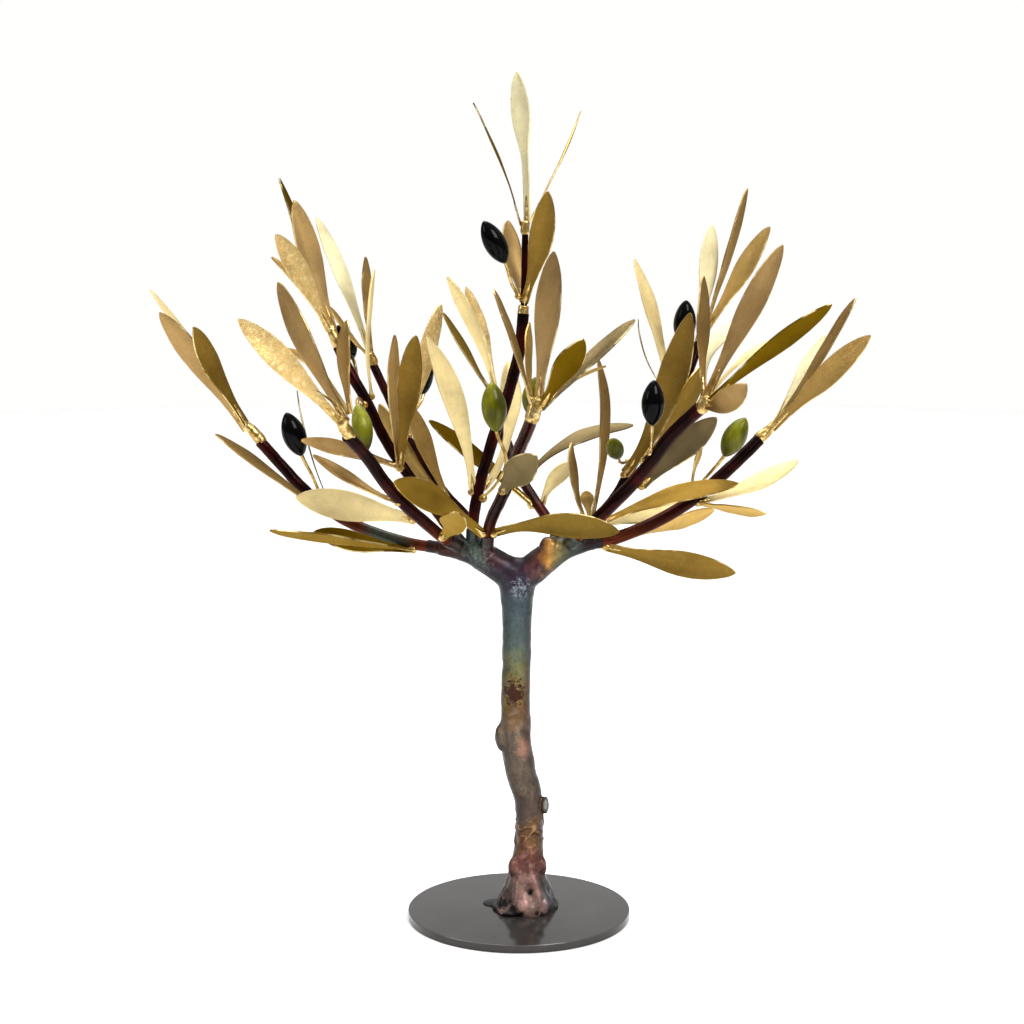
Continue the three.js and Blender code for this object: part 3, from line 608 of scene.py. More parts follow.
def bronzeFinish():
    bronze, tree, shader, place = newFinish("patinatedBronze", {
        "Metallic": 0.3, "IOR": 1.3, "Specular IOR Level": 0.5})
    spot = axesOf(tree, place)
    relief = painted(tree, "relief")
    fibres = noiseAt(tree, stretched(tree, place, (1, 1, 0.3)), 420, 5, 0.65)

    def patched(colour, name, mask=1.0):
        # full at the patch's place and gone beyond its reach, with a torn edge
        tone, centre, reach, torn, fineness, strength = bronzePatches[name]
        ring = addNode(tree, "VectorMath", {0: place, 1: Vector(centre) * mm}, operation="DISTANCE")
        tears = times(tree, less(tree, noiseAt(tree, place, fineness, 6, 0.7), 0.5), torn * mm)
        share = times(tree, plus(tree, ring.outputs["Value"], tears), 0.8 / (reach * mm))
        covered = times(tree, mask, ramp(tree, share, [(0.45, 1.0), (0.8, 0.0)]))
        return mixColours(tree, times(tree, covered, strength, True), colour, screen(*tone))

    # heights wander with a broad and a fine noise, so that the bands of patina run into each other
    broad = noiseAt(tree, place, 70, 5, 0.65)
    wander = plus(tree, less(tree, broad, 0.5), times(tree, fibres, 0.3))
    height = plus(tree, spot["Z"], times(tree, less(tree, wander, 0.15), 0.05))
    share = times(tree, height, 1 / 0.2)
    colour = ramp(tree, share, tones(*stemBands))
    # copper pink on the right of the stem, a reddish right edge, and pale pink patches on the foot, partly pink
    # copper and partly painted highlight
    colour = patched(colour, "copperPink")
    edge = ramp(tree, times(tree, spot["X"], 100), [(0.15, 0.0), (0.6, 0.75)])
    colour = patched(colour, "reddishEdge", edge)
    pinkCopperAndHighlight = ramp(tree, noiseAt(tree, place, 150, 5, 0.65), [(0.5, 0.0), (0.6, 1.0)])
    low = ramp(tree, share, [(0.03, 0.9), (0.16, 0.8), (0.2, 0.0)])
    colour = mixColours(tree, times(tree, times(tree, pinkCopperAndHighlight, low), 0.55, True), colour, screen(206, 160, 150))
    # a painted reflection on the right slope of the foot, a near-black patch on the lump at its back left and a
    # red blotch
    for name in ("footReflection", "blackBraze", "redBlotch"):
        colour = patched(colour, name)
    # the left arm is teal grey, the right one orange gold and then nearly black
    across = plus(tree, spot["X"], times(tree, wander, 0.014))
    arms = ramp(tree, plus(tree, times(tree, across, 12), 0.5), tones(*armBands))
    colour = mixColours(tree, ramp(tree, share, [(0.85, 0.0), (0.9, 1.0)]), colour, arms)
    # pale blue flecks on the front of the neck, and paler ones over the left arm
    flecks = ramp(tree, noiseAt(tree, place, 640, 6, 0.75), [(0.48, 0.0), (0.62, 1.0)])
    for name, mask in (
            ("neckFlecks", flecks), ("armFlecks", flecks), ("greenSockets", 1.0), ("bareScar", 1.0)):
        colour = patched(colour, name, mask)
    # ridges are brightened as painted highlight, hollows and the pit darkened as painted shade, and the crests
    # of the folds get a painted highlight colour
    colour = shaded(tree, colour, ramp(tree, relief, [(0.02, 0.01), (0.16, 0.4), (0.5, 0.95), (0.8, 1.4)]))
    colour = patched(colour, "foldHighlight", ramp(tree, relief, [(0.6, 0.0), (0.78, 1.0)]))
    grain = noiseAt(tree, place, 900, 6, 0.7)
    colour = shaded(tree, colour, ramp(tree, grain, [(0.34, 0.62), (0.5, 1.0)]))
    colour = shaded(tree, colour, ramp(tree, fibres, [(0.32, 0.74), (0.58, 1.06)]))
    # painted shade: darker towards the outline, where the glossy skin would reflect less light
    turned = addNode(tree, "LayerWeight", {"Blend": 0.5}).outputs["Facing"]
    colour = shaded(tree, colour, ramp(tree, turned, [(0.02, 1.0), (0.2, 0.6), (0.5, 0.28), (0.9, 0.08)]))
    dress(tree, shader, colour, ramp(tree, noiseAt(tree, place, 200, 5, 0.6), [(0.3, 0.24), (0.7, 0.42)]))
    lumps = plus(tree, noiseAt(tree, place, 260, 5, 0.6), times(tree, grain, 0.16))
    addBump(tree, shader, plus(tree, lumps, times(tree, fibres, 0.25)), 0.55, 0.5 * mm)
    return bronze


makeTrunk()
print("trunk made")

# brass sheet tones, partly real patina and partly painted light: colour on the screen, how strongly hammered,
# how much it shines like bare metal
leafTones = {
    # the pale and bright tones are painted as lit brass, the olive, moss, grey and shade tones as brass in
    # shade
    "olive": ((103, 78, 10), 0.0, 1.0),
    "khaki": ((142, 112, 48), 0.05, 1.0),
    "tan": ((174, 142, 92), 0.06, 1.0),
    "moss": ((128, 102, 40), 0.03, 0.9),
    "grey": ((122, 107, 76), 0.0, 0.8),
    "shade": ((160, 126, 46), 0.0, 0.9),
    "gold": ((208, 172, 102), 0.15, 0.95),
    "hammered": ((232, 198, 130), 0.85, 0.85),
    "bright": ((255, 232, 168), 0.3, 0.5),
    "pale": ((255, 246, 198), 0.15, 0.12),
}

# the leaf that all the others are copied from: real size, along +X from its root
masterLeaf = {
    "length": 66, "width": 12, "columns": 36, "strips": 8, "stalkShare": 0.1, "root": 0.34, "fullest": 0.6,
    "rise": 1.1, "fall": 0.62, "tipHalf": 0.35, "fold": 0.6, "sheet": 0.8, "rim": 0.16,
}
# how each copy is bent: points along its line, least thickness share, and depth, fineness along and
# across and layer of its dents and of its hammer marks
leafWork = {"points": 80, "thinnest": 0.25, "dents": (0.55, 4.2, 0.14, 0), "marks": (0.28, 19, 0.45, 7)}

# sprays: drops of braze as place and radius, then for each leaf its root, middle, tip, width, turn from
# facing the front, tone and, where it isn't the usual, the share that is stalk
sprays = {
    "leaves_far_left": ([(-124, 28, 240, 3.6), (-127, 28, 243.5, 3), (-130, 28, 246.5, 2.4)], [
        ((-130, 29, 246), (-153, 42, 281), (-174.2, 55, 311), 10, 72, "bright"),
        ((-130, 28, 244), (-152.6, 22, 277), (-170, 10, 300), 12, -30, "tan"),
        ((-130, 27, 247), (-145, 8, 273), (-154, -14, 293), 11.2, 35, "khaki")]),
    "leaves_left_front": ([(-82, -55, 243, 3.8), (-84, -56, 246.5, 3), (-83, -57, 250, 2.4)], [
        ((-84.6, -56, 247), (-110.4, -62, 274.8), (-133, -70, 297), 11.8, 10, "hammered"),
        ((-83, -56, 249), (-99.3, -49, 281), (-114, -42, 314.5), 12, -40, "tan"),
        ((-81, -55, 252), (-97, -42, 273), (-112, -26, 283.5), 10.5, 70, "tan"),
        ((-80, -56, 252), (-83, -60, 275), (-81.5, -66, 296.5), 11.5, -60, "tan"),
        ((-83, -57, 250), (-90, -72, 258), (-98, -88, 263), 4, 88, "olive")]),
    "leaves_left_middle": ([(-86.5, 14, 286, 3.4), (-88, 14, 289.5, 2.7), (-89, 14, 293, 2.2)], [
        ((-89, 15, 292), (-100.5, 30, 327), (-112, 44, 363.3), 10.5, 70, "olive"),
        ((-88, 14, 292), (-97, 14, 322), (-105.5, 14, 353), 12, 25, "tan"),
        ((-90, 13, 292), (-102, 2, 316), (-114.5, -12, 337), 11, 20, "hammered"),
        ((-90, 14, 291), (-102.4, 24, 310.6), (-116.5, 36, 326.3), 8.5, 70, "gold")]),
    "leaves_left_back": ([(-69.5, 50, 277.5, 3.1), (-71, 50, 281, 2.4)], [
        ((-71, 50, 281), (-82, 58, 313), (-95.3, 66, 345), 9.2, 40, "pale"),
        ((-70, 50, 281), (-72, 46, 304), (-72.5, 40, 326.5), 10.8, 67, "tan"),
        ((-71.5, 49, 280), (-81, 31, 290), (-90, 16, 303), 10, 78, "gold")]),
    "leaves_top": ([(2.8, 15, 339.5, 2.8), (3, 15, 343, 2.1)], [
        ((3.8, 15, 342.5), (2.6, 10, 373), (-1, 2, 412.5), 10.9, -38, "pale", 0.36),
        ((0.8, 15, 341.2), (-8.3, 10, 368.8), (-21.7, 0, 398), 6, 88, "olive"),
        ((4, 15.5, 341), (16.9, 24, 366.8), (28.8, 38, 394.3), 6, 87, "gold")]),
    "leaves_centre": ([(1.8, 12, 299, 3.4), (2.3, 12.4, 303.5, 2.9)], [
        ((2.4, 11.5, 305), (9.7, -2, 332), (13.4, -12, 357), 11.9, -15, "khaki"),
        ((2, 13.4, 305), (-2.5, 23.6, 324), (-5.5, 30.6, 343.5), 11.6, 40, "tan")]),
    "leaves_front": ([(6.5, -84, 252, 4.3), (7.5, -84, 256, 3.4), (9, -84, 259, 2.4)], [
        ((5.5, -84, 257), (-2.3, -81, 283), (-12.3, -74, 311), 11, 75, "tan"),
        ((9, -84, 258), (12.5, -88, 293), (16, -88, 329), 12.5, -25, "tan"),
        ((10.5, -85, 255.5), (20.2, -94, 271.8), (30, -104, 287.6), 12.4, 30, "olive"),
        ((10.5, -84, 254), (31.5, -76, 275.2), (54.5, -66, 296.8), 11.8, -60, "grey"),
        ((9.5, -83, 256), (24, -68, 267.5), (41, -52, 274.5), 7, 80, "gold"),
        ((6, -83, 257), (3.8, -73, 277.5), (4.8, -60, 295.5), 7.6, 65, "gold")]),
    "leaves_back": ([(-10.5, 86, 258, 3.4), (-10.8, 86.5, 261.5, 2.6)], [
        ((-12, 87, 260.5), (-24, 96, 279.2), (-35.5, 106, 300), 12, 72, "khaki"),
        ((-11, 86, 261.5), (-19, 79, 289), (-33.7, 70, 317), 11.2, -55, "bright"),
        ((-10.8, 87, 261.5), (-17.1, 98, 289), (-24.8, 112, 312.3), 9.8, 50, "hammered")]),
    "leaves_right_front": ([(87.5, -48, 256, 4), (89, -48.5, 260, 2.9)], [
        ((89, -48, 260), (105.2, -44, 295), (124, -40, 332), 12, 25, "tan"),
        ((90, -49, 257.6), (115.8, -60, 280.2), (147.5, -74, 304), 11.2, 45, "olive"),
        ((90, -47, 260), (110.5, -36, 280.5), (133, -24, 288), 9, -70, "bright"),
        ((88.5, -46, 260), (90.5, -28, 282), (107, -14, 296), 11, -50, "pale"),
        ((88.6, -49, 256.4), (96.4, -65, 256.8), (107.6, -82, 266), 11.4, 6, "tan", 0.05),
        ((87.5, -47, 260), (86.6, -41, 284), (87, -32, 317.5), 12, 63, "tan")]),
    "leaves_right_back": ([(86, 43.5, 288, 3.1), (87, 44, 292, 2.4)], [
        ((87, 44, 292), (88.3, 49, 314), (90.8, 56, 341.5), 12, 42, "pale"),
        ((88, 44.5, 292), (97.4, 53, 324), (107, 64, 358.5), 11, 70, "tan"),
        ((88.5, 43.5, 291.5), (102.8, 38, 315), (117.8, 30, 340.5), 11.5, -40, "gold")]),
    "leaves_far_right": ([(116, 25.5, 241.3, 3.8), (119.4, 26, 244.2, 2.6), (122, 26.5, 247, 2.2)], [
        ((121, 27, 246), (133.8, 35, 267.5), (145, 44, 289.5), 10.5, 35, "pale"),
        ((121, 26, 246), (139.6, 20, 273), (158.8, 12, 307), 11, -68, "tan"),
        ((121, 25, 245), (142, 11, 266), (166.2, -4, 289.3), 12, -25, "gold"),
        ((122, 27, 248), (126, 31, 256), (129.5, 36, 263), 6, 75, "gold")]),
    "leaf_pair_far_left": ([(-90.5, 19, 204.5, 3.2)], [
        ((-92.6, 18.5, 203.4), (-116.8, 9, 221.4), (-144.8, -4, 242), 10, 65, "tan"),
        ((-89.5, 19.5, 205.5), (-100, 25, 234), (-105.5, 33, 263), 4, 88, "olive")]),
    "leaf_left_slim": ([(-58, -27, 209, 2.6)], [
        ((-58, -27, 209), (-76.6, -22, 217.5), (-98.5, -16, 232), 9.6, 58, "tan")]),
    "leaf_left_pale": ([(-51, -17.5, 200.5, 2.6)], [
        ((-50, -17.5, 200.6), (-78.6, -8, 206.6), (-107, 0, 211.5), 15, -15, "bright", 0.03)]),
    "leaf_pair_left_low": ([(-51, 7, 186, 2.6)], [
        ((-51, 7, 185.5), (-84, -12, 190.5), (-119.8, -34, 195.2), 9.5, -65, "khaki"),
        ((-51, 7, 186), (-76, 2, 189), (-98.6, -5, 194.6), 13.8, 45, "olive")]),
    "leaf_left_upright": ([(-70.3, 12, 260, 2.4)], [
        ((-70, 12, 260), (-72, 17, 290), (-68, 24, 321), 9, 78, "bright")]),
    "leaf_trio_left": ([(-57, 5, 226, 3)], [
        ((-57.5, 5, 226), (-60, -5, 258), (-59, -20, 289.5), 10.5, 60, "tan"),
        ((-57, 5, 226), (-53, -14, 260), (-49, -38, 289), 12.3, -28, "khaki"),
        ((-57, 5, 226), (-80, 0, 233.5), (-104, -8, 239), 11.8, 55, "tan")]),
    "leaf_left_golden": ([(-52.5, 31.5, 241, 2.4)], [
        ((-53, 32, 241), (-47, 37, 270), (-36.8, 46, 304), 12, 45, "hammered")]),
    "leaf_centre_pale": ([(-22.8, 0.5, 214, 2.4)], [
        ((-22.2, 0.5, 214), (-28.8, -9, 251), (-44, -20, 288.5), 11.2, 25, "bright")]),
    "leaf_pair_left_inner": ([(-35, 12.5, 211, 2.8)], [
        ((-34.5, 12.5, 211), (-44.2, 10, 234.5), (-52.2, 6, 256.5), 10.5, 40, "gold"),
        ((-35, 12.5, 211), (-52, 12, 229.5), (-66.5, 15, 256.5), 12.5, -45, "gold")]),
    "leaf_pair_behind": ([(6.4, 25.5, 207.5, 2.4), (9, 28, 208, 2.7), (11.6, 25.5, 208.5, 2.2)], [
        ((7, 25, 207.5), (-17, 24, 228), (-43, 20, 248.5), 10.5, 45, "olive"),
        ((11.4, 25, 208), (15.5, 24, 218.2), (25.6, 21, 228.7), 9, 30, "bright")]),
    "leaf_front_big": ([(-17.5, -11.5, 193.5, 2.4)], [
        ((-17.5, -11.5, 193.5), (-37, -28, 208), (-60, -44, 219), 13.6, 15, "shade", 0.2)]),
    "leaf_front_stub": ([(-37, -12.5, 192, 2.6)], [
        ((-37, -12.5, 192), (-32.5, -33, 197.5), (-30.5, -54, 204.5), 13, 0, "shade", 0.12)]),
    "leaf_front_grey": ([(-8, -35, 214.5, 2.6)], [
        ((-8, -35, 214.5), (-2, -66, 222), (8, -98, 231.5), 14, 0, "grey", 0.1)]),
    "leaf_centre_hidden": ([(-17, 3, 216, 2.4)], [
        ((-17, 3, 216), (-6, 14, 239.5), (-5, 28, 277), 12.4, 35, "bright", 0.35)]),
    "leaf_back_long": ([(3, 40, 219.5, 2.6)], [
        ((3, 40, 219.4), (23.3, 47, 237.6), (54.5, 52, 246.3), 12.4, -62, "grey")]),
    "leaf_trio_right": ([(34, 4.5, 201, 3)], [
        ((35, 4, 202), (40.5, 10, 242), (37.4, 16, 278.4), 10, 62, "tan"),
        ((34, 3, 201), (32.6, -14, 210), (32.5, -32, 214.5), 6.5, 0, "gold"),
        ((31.4, 5, 200.8), (26.2, 7, 219), (25, 12, 238), 10, 66, "tan")]),
    "leaf_front_low": ([(-12, -9.5, 193.5, 2.6)], [
        ((-12.5, -9, 193.9), (15, -26, 198.2), (48, -42, 194.6), 12.6, 22, "moss", 0.15)]),
    "leaf_pair_right_upright": ([(72.2, 31, 259.5, 2.8)], [
        ((72, 31, 260.5), (65.2, 33, 291), (54.5, 42, 325.5), 10.2, 55, "bright"),
        ((71.5, 30.5, 259.5), (60, 22, 279), (56.5, 12, 297), 3, 89, "olive")]),
    "leaf_right_big": ([(50.5, 13.5, 222.3, 2.8)], [
        ((50.5, 12.5, 223), (67, -3, 252.5), (81, -14, 300), 14.6, -15, "khaki")]),
    "leaf_right_slim": ([(59.5, -30, 229, 2.6)], [
        ((59.5, -30, 229), (74, -26, 249), (88, -15, 276), 12.6, 50, "khaki")]),
    "leaf_right_under": ([(58.5, -27, 217, 2.6)], [
        ((58.8, -27, 217), (77, -22, 234), (94, -18, 250), 13, -20, "grey")]),
    "leaf_pair_right_inner": ([(39.5, -12, 198.5, 2.8)], [
        ((39.5, -12, 198.5), (71, -6, 211.5), (105, 2, 218), 11.5, -42, "khaki"),
        ((39.5, -11, 198.5), (61, 19, 202.5), (85, 34, 209.3), 11, -48, "bright")]),
    "leaf_pair_right_low": ([(86, 12.5, 209, 2.8)], [
        ((86, 12.5, 209), (111, 21, 217.2), (133.5, 30, 229.5), 12, -48, "bright"),
        ((86.5, 12, 208.5), (101.5, -4, 206), (118.5, -20, 204.2), 11, 67, "gold")]),
    "leaf_right_behind": ([(54, 6.5, 193, 2.4)], [
        ((54, 6.5, 193), (76, 22, 199.5), (93.5, 42, 205), 11, 50, "gold")]),
    "leaf_right_lowest": ([(41.5, 0.5, 187.5, 2.6)], [
        ((41.5, 0.5, 187.5), (68, -8, 181.2), (104.3, -20, 174.6), 13.4, 25, "khaki")]),
}


def leafHalf(station):
    # half width along the leaf, 0 at its root and 1 at its tip
    share = (station - masterLeaf["stalkShare"]) / (1 - masterLeaf["stalkShare"])
    half, fullest, root = masterLeaf["width"] / 2, masterLeaf["fullest"], masterLeaf["root"]
    if share < fullest:
        swell = ((1 - math.cos(math.pi * max(share, 0) / fullest)) / 2) ** masterLeaf["rise"]
        return half * (root + (1 - root) * swell)
    left = max(math.cos(math.pi / 2 * (share - fullest) / (1 - fullest)), 0.0)
    return max(half * left ** masterLeaf["fall"], masterLeaf["tipHalf"])


def makeMasterLeaf():
    length, half = masterLeaf["length"], masterLeaf["width"] / 2
    bpy.ops.mesh.primitive_grid_add(
        x_subdivisions=masterLeaf["columns"], y_subdivisions=masterLeaf["strips"], size=1,
        location=(length / 2 * mm, 0, 0))
    leaf = bpy.context.object
    leaf.name = "masterLeaf"
    leaf.scale = (length * mm, 2 * half * mm, 1)
    settle(leaf)
    # each column of the grid is drawn in to the outline
    stations = sorted({round(vertex.co.x, 7) for vertex in leaf.data.vertices})
    for station in stations:
        bpy.ops.object.mode_set(mode="EDIT")
        bpy.ops.mesh.select_all(action="DESELECT")
        bpy.ops.object.mode_set(mode="OBJECT")
        for vertex in leaf.data.vertices:
            vertex.select = abs(vertex.co.x - station) < 1e-6
        bpy.ops.object.mode_set(mode="EDIT")
        width = leafHalf(station / (length * mm)) / half
        bpy.ops.transform.resize(value=(1, width, 1), center_override=(station, 0, 0))
        bpy.ops.object.mode_set(mode="OBJECT")
    for vertex in leaf.data.vertices:
        across = abs(vertex.co.y) / (half * mm)
        vertex.co.z = masterLeaf["fold"] * mm * across ** 1.5
    applyModifier(leaf, "SOLIDIFY", thickness=masterLeaf["sheet"] * mm, offset=0)
    applyModifier(leaf, "BEVEL", width=masterLeaf["rim"] * mm, segments=2, limit_method="ANGLE")
    leaf.select_set(False)
    return leaf


def leafLine(start, middle, end):
    # points along a smooth line through the three, and how far along it each one lies
    control = middle * 2 - (start + end) / 2
    shares = [i / leafWork["points"] for i in range(leafWork["points"] + 1)]
    fine = [start * (1 - t) ** 2 + control * 2 * t * (1 - t) + end * t ** 2 for t in shares]
    run = [0.0]
    for before, after in zip(fine, fine[1:]):
        run.append(run[-1] + (after - before).length)
    return fine, run


def onLine(fine, run, share):
    # the point and the direction at a share of the line
    goal = min(max(share, 0.0), 1.0) * run[-1]
    index = max(i for i in range(len(run) - 1) if run[i] <= goal + 1e-12)
    part = (goal - run[index]) / (run[index + 1] - run[index])
    step = fine[index + 1] - fine[index]
    before = step if index == 0 else fine[index] - fine[index - 1]
    return fine[index] + step * part, before.lerp(step, part).normalized()


def paint(mesh, name, kind, numbers):
    attribute = mesh.attributes.new(name, kind, "POINT")
    field = "color" if kind == "FLOAT_COLOR" else "value"
    attribute.data.foreach_set(field, list(numbers) * len(mesh.vertices))


def dentAt(along, side, seed, depth, alongFineness, acrossFineness, layer):
    return noise.noise(Vector((along * alongFineness, side / mm * acrossFineness, layer)) + seed) * depth


def bendLeaf(root, middle, tip, width, turn, tone, stalk=0.1):
    # a copy of the master leaf along its own line, turned about it from facing the viewpoint
    fine, run = leafLine(place(*root), place(*middle), place(*tip))
    eye = Vector((0, -seenFrom["distance"], seenFrom["height"] + seenFrom["zeroLevel"])) * mm
    leaf = copyOf(master)
    length, share = masterLeaf["length"] * mm, masterLeaf["stalkShare"]
    wide = width / masterLeaf["width"]
    thin = min(1.0, leafWork["thinnest"] + wide)  # narrow leaves are of thinner sheet
    colour, hammered, glint = leafTones[tone]
    seed = Vector(root) * 0.37
    rings = {}
    for vertex in leaf.data.vertices:
        station = vertex.co.x / length
        along = station / share * stalk
        if station >= share:
            along = stalk + (station - share) / (1 - share) * (1 - stalk)
        key = round(along, 5)
        if key not in rings:
            centre, forward = onLine(fine, run, along)
            sight = (eye - centre).normalized()
            facing = (sight - forward * sight.dot(forward)).normalized()
            facing = Quaternion(forward, math.radians(turn)) @ facing
            rings[key] = (centre, facing.cross(forward), facing)
        centre, across, facing = rings[key]
        side = vertex.co.y * wide
        dent = dentAt(along, side, seed, *leafWork["dents"])
        dent += dentAt(along, side, seed, *leafWork["marks"]) * hammered
        lift = vertex.co.z * thin + dent * thin * mm * between((along - 0.1) * 4)
        vertex.co = centre + across * side + facing * lift
    paint(leaf.data, "leafColour", "FLOAT_COLOR", (*screen(*colour), 1))
    paint(leaf.data, "hammered", "FLOAT", [hammered])
    paint(leaf.data, "metal", "FLOAT", [glint])
    leaf.data.materials.append(leafBrass)
    return leaf


# braze: radii as shares of the table's, radius on a stalk and how far up a leaf it runs on a rod's end
# and on its side
braze = {
    "single": 0.84, "back": 0.7, "start": 0.8, "end": 0.92, "stalk": 1.45, "stalkEnd": 0.5,
    "reach": 0.2, "singleReach": 0.12, "voxel": 0.45, "lumpSize": 3.2, "lumpDepth": 0.5,
}


def brazeCollar(name, drops, stubs):
    # a funnel of braze over a rod's end, or one drop on its side, melted into the first part of each stalk
    spots, radii = [place(*drop[:3]) for drop in drops], [drop[3] for drop in drops]
    if len(drops) > 1:
        back = (spots[0] - spots[1]).normalized() * radii[0] * mm
        start = radii[0] * braze["start"]
        radii = [start * braze["back"], start, start] + [radius * braze["end"] for radius in radii[1:]]
        parts = [drawWire("funnel", [spots[0] + back, spots[0] + back * 0.6] + spots, radii, 4, 4)]
    else:
        parts = [roundDrop(spots[0], radii[0] * braze["single"])]
    for start, end, wide in stubs:
        thick = braze["stalk"] * wide
        radii = [thick, thick * 0.8, braze["stalkEnd"]]
        parts.append(drawWire("stub", [start, start.lerp(end, 0.5), end], radii, 2, 4))
    collar = meltTogether(parts, name, braze["voxel"])
    applyModifier(collar, "SMOOTH", factor=0.5, iterations=9)
    dentSkin(collar, brazeLumps, braze["lumpDepth"])
    collar.data.materials.append(brightBraze)
    return collar


def leafFinish():
    brass, tree, shader, place = newFinish("leafBrass", {
        "Specular IOR Level": 0.3, "Specular Tint": (0.92, 0.8, 0.5, 1)})
    colour, hammered = painted(tree, "leafColour", "Color"), painted(tree, "hammered")
    tree.links.new(painted(tree, "metal"), shader.inputs["Metallic"])
    own = addNode(tree, "UVMap", uv_map="UVMap").outputs["UV"]
    across = axesOf(tree, own)["Y"]
    side = times(tree, less(tree, across, 0.5), 2)
    side = addNode(tree, "Math", {0: side}, operation="ABSOLUTE").outputs[0]
    # worn patches where the patina is thin, and darker brown clouds where it is thick
    clouds = noiseAt(tree, place, 55, 5, 0.6)
    tone = shaded(tree, colour, ramp(tree, clouds, [
        (0.3, (0.66, 0.63, 0.58)), (0.5, (0.84, 0.83, 0.82)), (0.72, (0.98, 0.96, 0.9))]))
    # hammered leaves are crinkled, with painted highlights on the crests
    beaten = noiseAt(tree, place, 480, 4, 0.6, 0.5)
    crestGlints = ramp(tree, beaten, [(0.5, 0.0), (0.64, 0.5)])
    tone = mixColours(tree, times(tree, crestGlints, hammered), tone, screen(255, 240, 188))
    # grain, specks, fine brushing along the leaf, and painted shade that keeps one half a little darker than
    # the other
    fine = noiseAt(tree, place, 1500, 3, 0.6)
    specks = noiseAt(tree, place, 900, 2, 0.5)
    brushed = noiseAt(tree, stretched(tree, own, (3, 70, 1)), 1, 4, 0.6)
    for field, stops in (
            (fine, [(0.3, 0.93), (0.6, 1.0)]), (specks, [(0.25, 0.5), (0.3, 1.0)]),
            (brushed, [(0.32, 0.91), (0.6, 1.03)]), (across, [(0.1, 0.82), (0.6, 1.03)])):
        tone = shaded(tree, tone, ramp(tree, field, stops))
    # painted highlights on the rims in places
    rim = ramp(tree, side, [(0.94, 0.0), (0.985, 0.6)])
    rimHighlight = times(tree, rim, ramp(tree, clouds, [(0.5, 0.0), (0.58, 1.0)]))
    tone = mixColours(tree, rimHighlight, tone, screen(255, 236, 176))
    rough = ramp(tree, clouds, [(0.3, 0.36), (0.7, 0.46)])
    dress(tree, shader, tone, plus(tree, rough, times(tree, fine, 0.06)))
    marks = times(tree, beaten, times(tree, hammered, 0.9))
    scratches = plus(tree, times(tree, fine, 0.07), times(tree, brushed, 0.12))
    addBump(tree, shader, plus(tree, marks, scratches), 0.9, 0.6 * mm)
    return brass


def brazeFinish():
    bright, tree, shader, place = newFinish("brightBraze", {"Metallic": 1.0})
    clouds = noiseAt(tree, place, 260, 4, 0.6)
    tone = ramp(tree, clouds, tones(
        (0.3, (126, 96, 42)), (0.45, (176, 142, 76)), (0.62, (224, 198, 134)), (0.75, (196, 164, 106))))
    fine = noiseAt(tree, place, 1100, 4, 0.6)
    tone = shaded(tree, tone, ramp(tree, fine, [(0.28, 0.6), (0.5, 1.0)]))
    dress(tree, shader, tone, ramp(tree, clouds, [(0.3, 0.38), (0.7, 0.24)]))
    addBump(tree, shader, plus(tree, clouds, times(tree, fine, 0.3)), 0.5, 0.3 * mm)
    return bright


leafBrass, brightBraze = leafFinish(), brazeFinish()
brazeLumps = cloudTexture("brazeLumps", braze["lumpSize"])
master = makeMasterLeaf()
print("master leaf made")


def makeSpray(name, drops, blades):
    leaves, stubs = [], []
    reach = braze["reach"] if len(drops) > 1 else braze["singleReach"]
    for blade in blades:
        leaves.append(bendLeaf(*blade))
        fine, run = leafLine(*(place(*point) for point in blade[:3]))
        stubs.append((fine[0], onLine(fine, run, reach)[0], min(1.0, blade[3] / masterLeaf["width"])))
    return joinAll([brazeCollar(name, drops, stubs), *leaves], name)


for node, (drops, blades) in sprays.items():
    finishPiece(makeSpray(node + "_brass", drops, blades), node, 35)
print("leaves made")

# olives: width, body from stalk end to tip, route of the wire to its drop of braze, the drop's radius
olives = {
    "olive_black_left": (
        11.4, [(-103.7, 10, 231.5), (-111, 8, 252.4)], [(-99, 13, 222), (-95.2, 19, 212.8)], 2.2),
    "olive_black_left_middle": (
        10.4, [(-78.7, 46, 278), (-86, 38, 294)], [(-77, 32, 270.5), (-74.5, 14, 262.5)], 2.2),
    "olive_black_middle": (10, [(-45.5, 52, 261), (-45, 54, 282)], [(-49, 46, 254), (-54.5, 38, 248)], 2),
    "olive_black_top": (
        10.7, [(-6.4, 2, 323.4), (-16.9, 0, 343.2)], [(-3.6, 4.8, 314), (-0.5, 9.4, 307.9)], 1.6),
    "olive_black_right_front": (
        10.8, [(63.2, -35, 246), (64, -36, 268)], [(63.2, -34.6, 240), (63, -34, 233)], 2),
    "olive_black_right_back": (11, [(77.9, 28, 284.6), (79, 24, 306)], [(78, 31, 279), (78.8, 35.8, 275.3)], 2),
    "olive_green_left": (
        9.6, [(-77, -8, 256.5), (-72.5, -14, 234)], [(-76, 1, 259), (-73.8, 8.7, 256)], 2.2),
    "olive_green_centre": (
        12, [(-10.8, -8, 243), (-13.2, -9, 267)], [(-6.2, -4, 229), (-9.6, -3, 220), (-17.3, -1.8, 211)], 2.2),
    "olive_green_front": (10, [(5, -60, 251), (8, -60, 269.5)], [(2, -61, 243), (0.5, -62.8, 238.5)], 2),
    "olive_green_small": (
        8.4, [(47.3, 4, 230.5), (44.2, -6, 239.5)], [(48.6, 12.5, 228.2), (52, 19.8, 228.6)], 1.6),
    "olive_green_right": (
        11.4, [(97.8, 9, 231.3), (107.9, 6, 249.9)], [(91.5, 11, 223.5), (84.5, 12.5, 215.5)], 2.8),
}
leafByOlive = ((83, 12.5, 215), (84, 15, 227), (89, 20, 243), 9, 78, "gold")
wireRadius = 0.8
oliveShape = {"sides": 32, "rings": 22, "skew": 0.96, "fullness": 0.62, "ridge": 0.012}


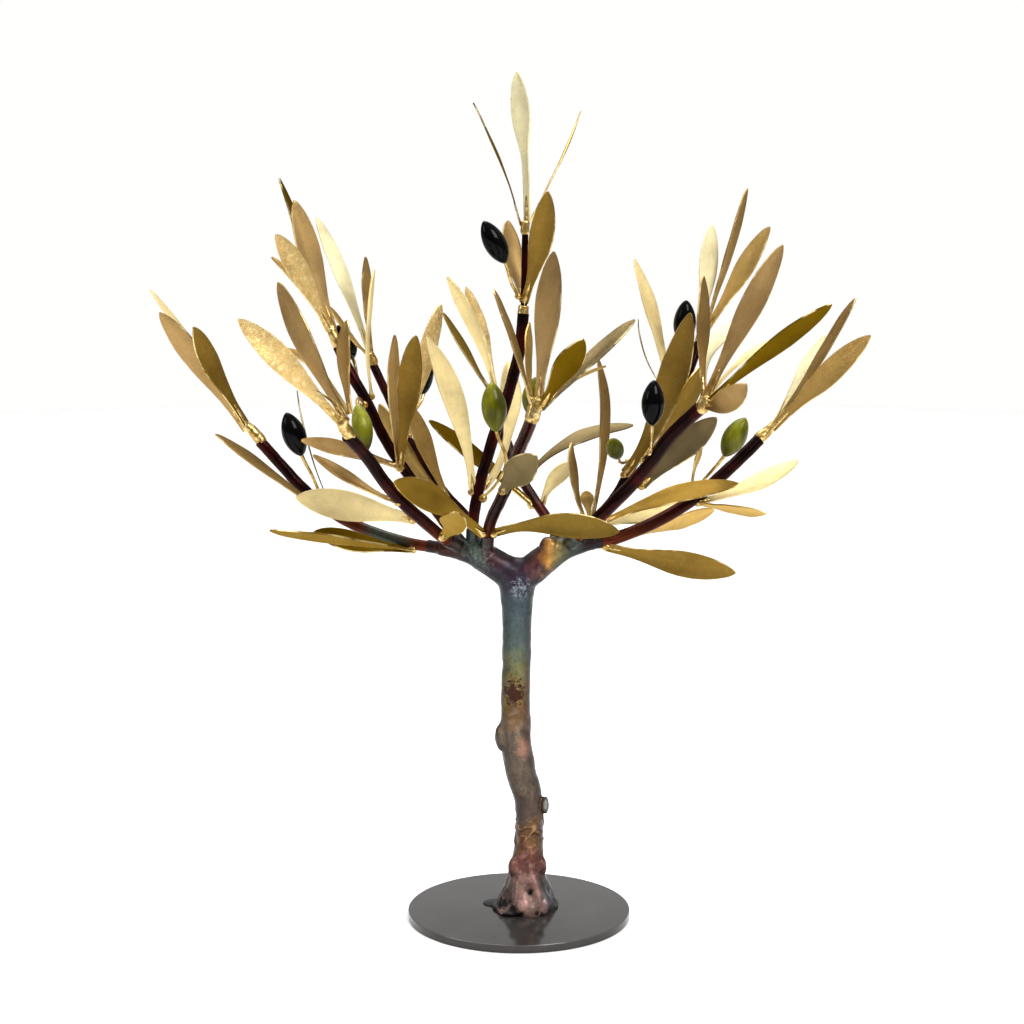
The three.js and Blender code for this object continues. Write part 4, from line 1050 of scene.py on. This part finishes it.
def makeMasterOlive():
    # one unit long from z 0 to 1 and one wide, pointed at its tip
    bpy.ops.mesh.primitive_uv_sphere_add(
        segments=oliveShape["sides"], ring_count=oliveShape["rings"], radius=0.5, location=(0, 0, 0.5))
    olive = settle(bpy.context.object)
    olive.name = "masterOlive"
    for vertex in olive.data.vertices:
        share = between(vertex.co.z)
        swell = 0.0
        if 0 < share < 1:
            swell = math.sin(math.pi * share ** oliveShape["skew"]) ** oliveShape["fullness"]
        ring = math.hypot(vertex.co.x, vertex.co.y)
        if ring > 1e-6:
            ridge = 1 + oliveShape["ridge"] * math.sin(2 * math.atan2(vertex.co.y, vertex.co.x))
            vertex.co.x *= 0.5 * swell * ridge / ring
            vertex.co.y *= 0.5 * swell * ridge / ring
    olive.select_set(False)
    return olive


def enamelFinish(name, stops, rough, shine, bend):
    enamel, tree, shader, place = newFinish(name, {
        "Specular IOR Level": shine, "Roughness": rough, "IOR": bend})
    flow = noiseAt(tree, stretched(tree, place, (1, 1, 0.4)), 120, 3)
    # painted light: a little lighter on top and on the left
    up = axesOf(tree, addNode(tree, "NewGeometry").outputs["Normal"])
    shade = plus(tree, times(tree, up["X"], -0.12), times(tree, up["Z"], 0.16))
    tree.links.new(ramp(tree, plus(tree, flow, shade), stops), shader.inputs["Base Color"])
    addBump(tree, shader, noiseAt(tree, place, 190, 3, 0.5), 0.18, 0.4 * mm)
    return enamel


blackEnamel = enamelFinish("blackEnamel", tones((0.25, (1, 1, 2)), (0.7, (4, 4, 5))), 0.12, 0.12, 1.4)
greenEnamel = enamelFinish("greenEnamel", tones(
    (0.3, (56, 56, 2)), (0.45, (84, 84, 6)), (0.6, (110, 111, 20)), (0.75, (146, 148, 50))), 0.22, 0.2, 1.45)
oliveMaster = makeMasterOlive()


def makeOlive(node, width, body, stalk, drop):
    low, high = (place(*point) for point in body)
    olive = copyOf(oliveMaster)
    olive.name = node + "_enamel"
    turn = Vector((0, 0, 1)).rotation_difference(high - low).to_matrix().to_4x4()
    size = Matrix.Diagonal((width * mm, width * mm, (high - low).length, 1))
    olive.data.transform(Matrix.Translation(low) @ turn @ size)
    slotName, enamel = ("black_enamel", blackEnamel) if "black" in node else ("green_enamel", greenEnamel)
    finishPiece(olive, node, 60, enamel)
    route = [low.lerp(high, 0.12), low, *(place(*point) for point in stalk)]
    radii = [wireRadius * 0.8, wireRadius * 1.15] + [wireRadius] * len(stalk)
    wire = drawWire(node + "_wire", route, radii, 3, 6)
    parts = [roundDrop(route[-1], drop, 3), wire]
    for part in parts:
        part.data.materials.append(brightBraze)
    if node == "olive_green_right":
        parts.append(bendLeaf(*leafByOlive))
    finishPiece(joinAll(parts, node + "_wire"), node, 50)


for node, (width, body, stalk, drop) in olives.items():
    makeOlive(node, width, body, stalk, drop)
for spare in (master, oliveMaster):
    bpy.data.objects.remove(spare)
print("olives made")
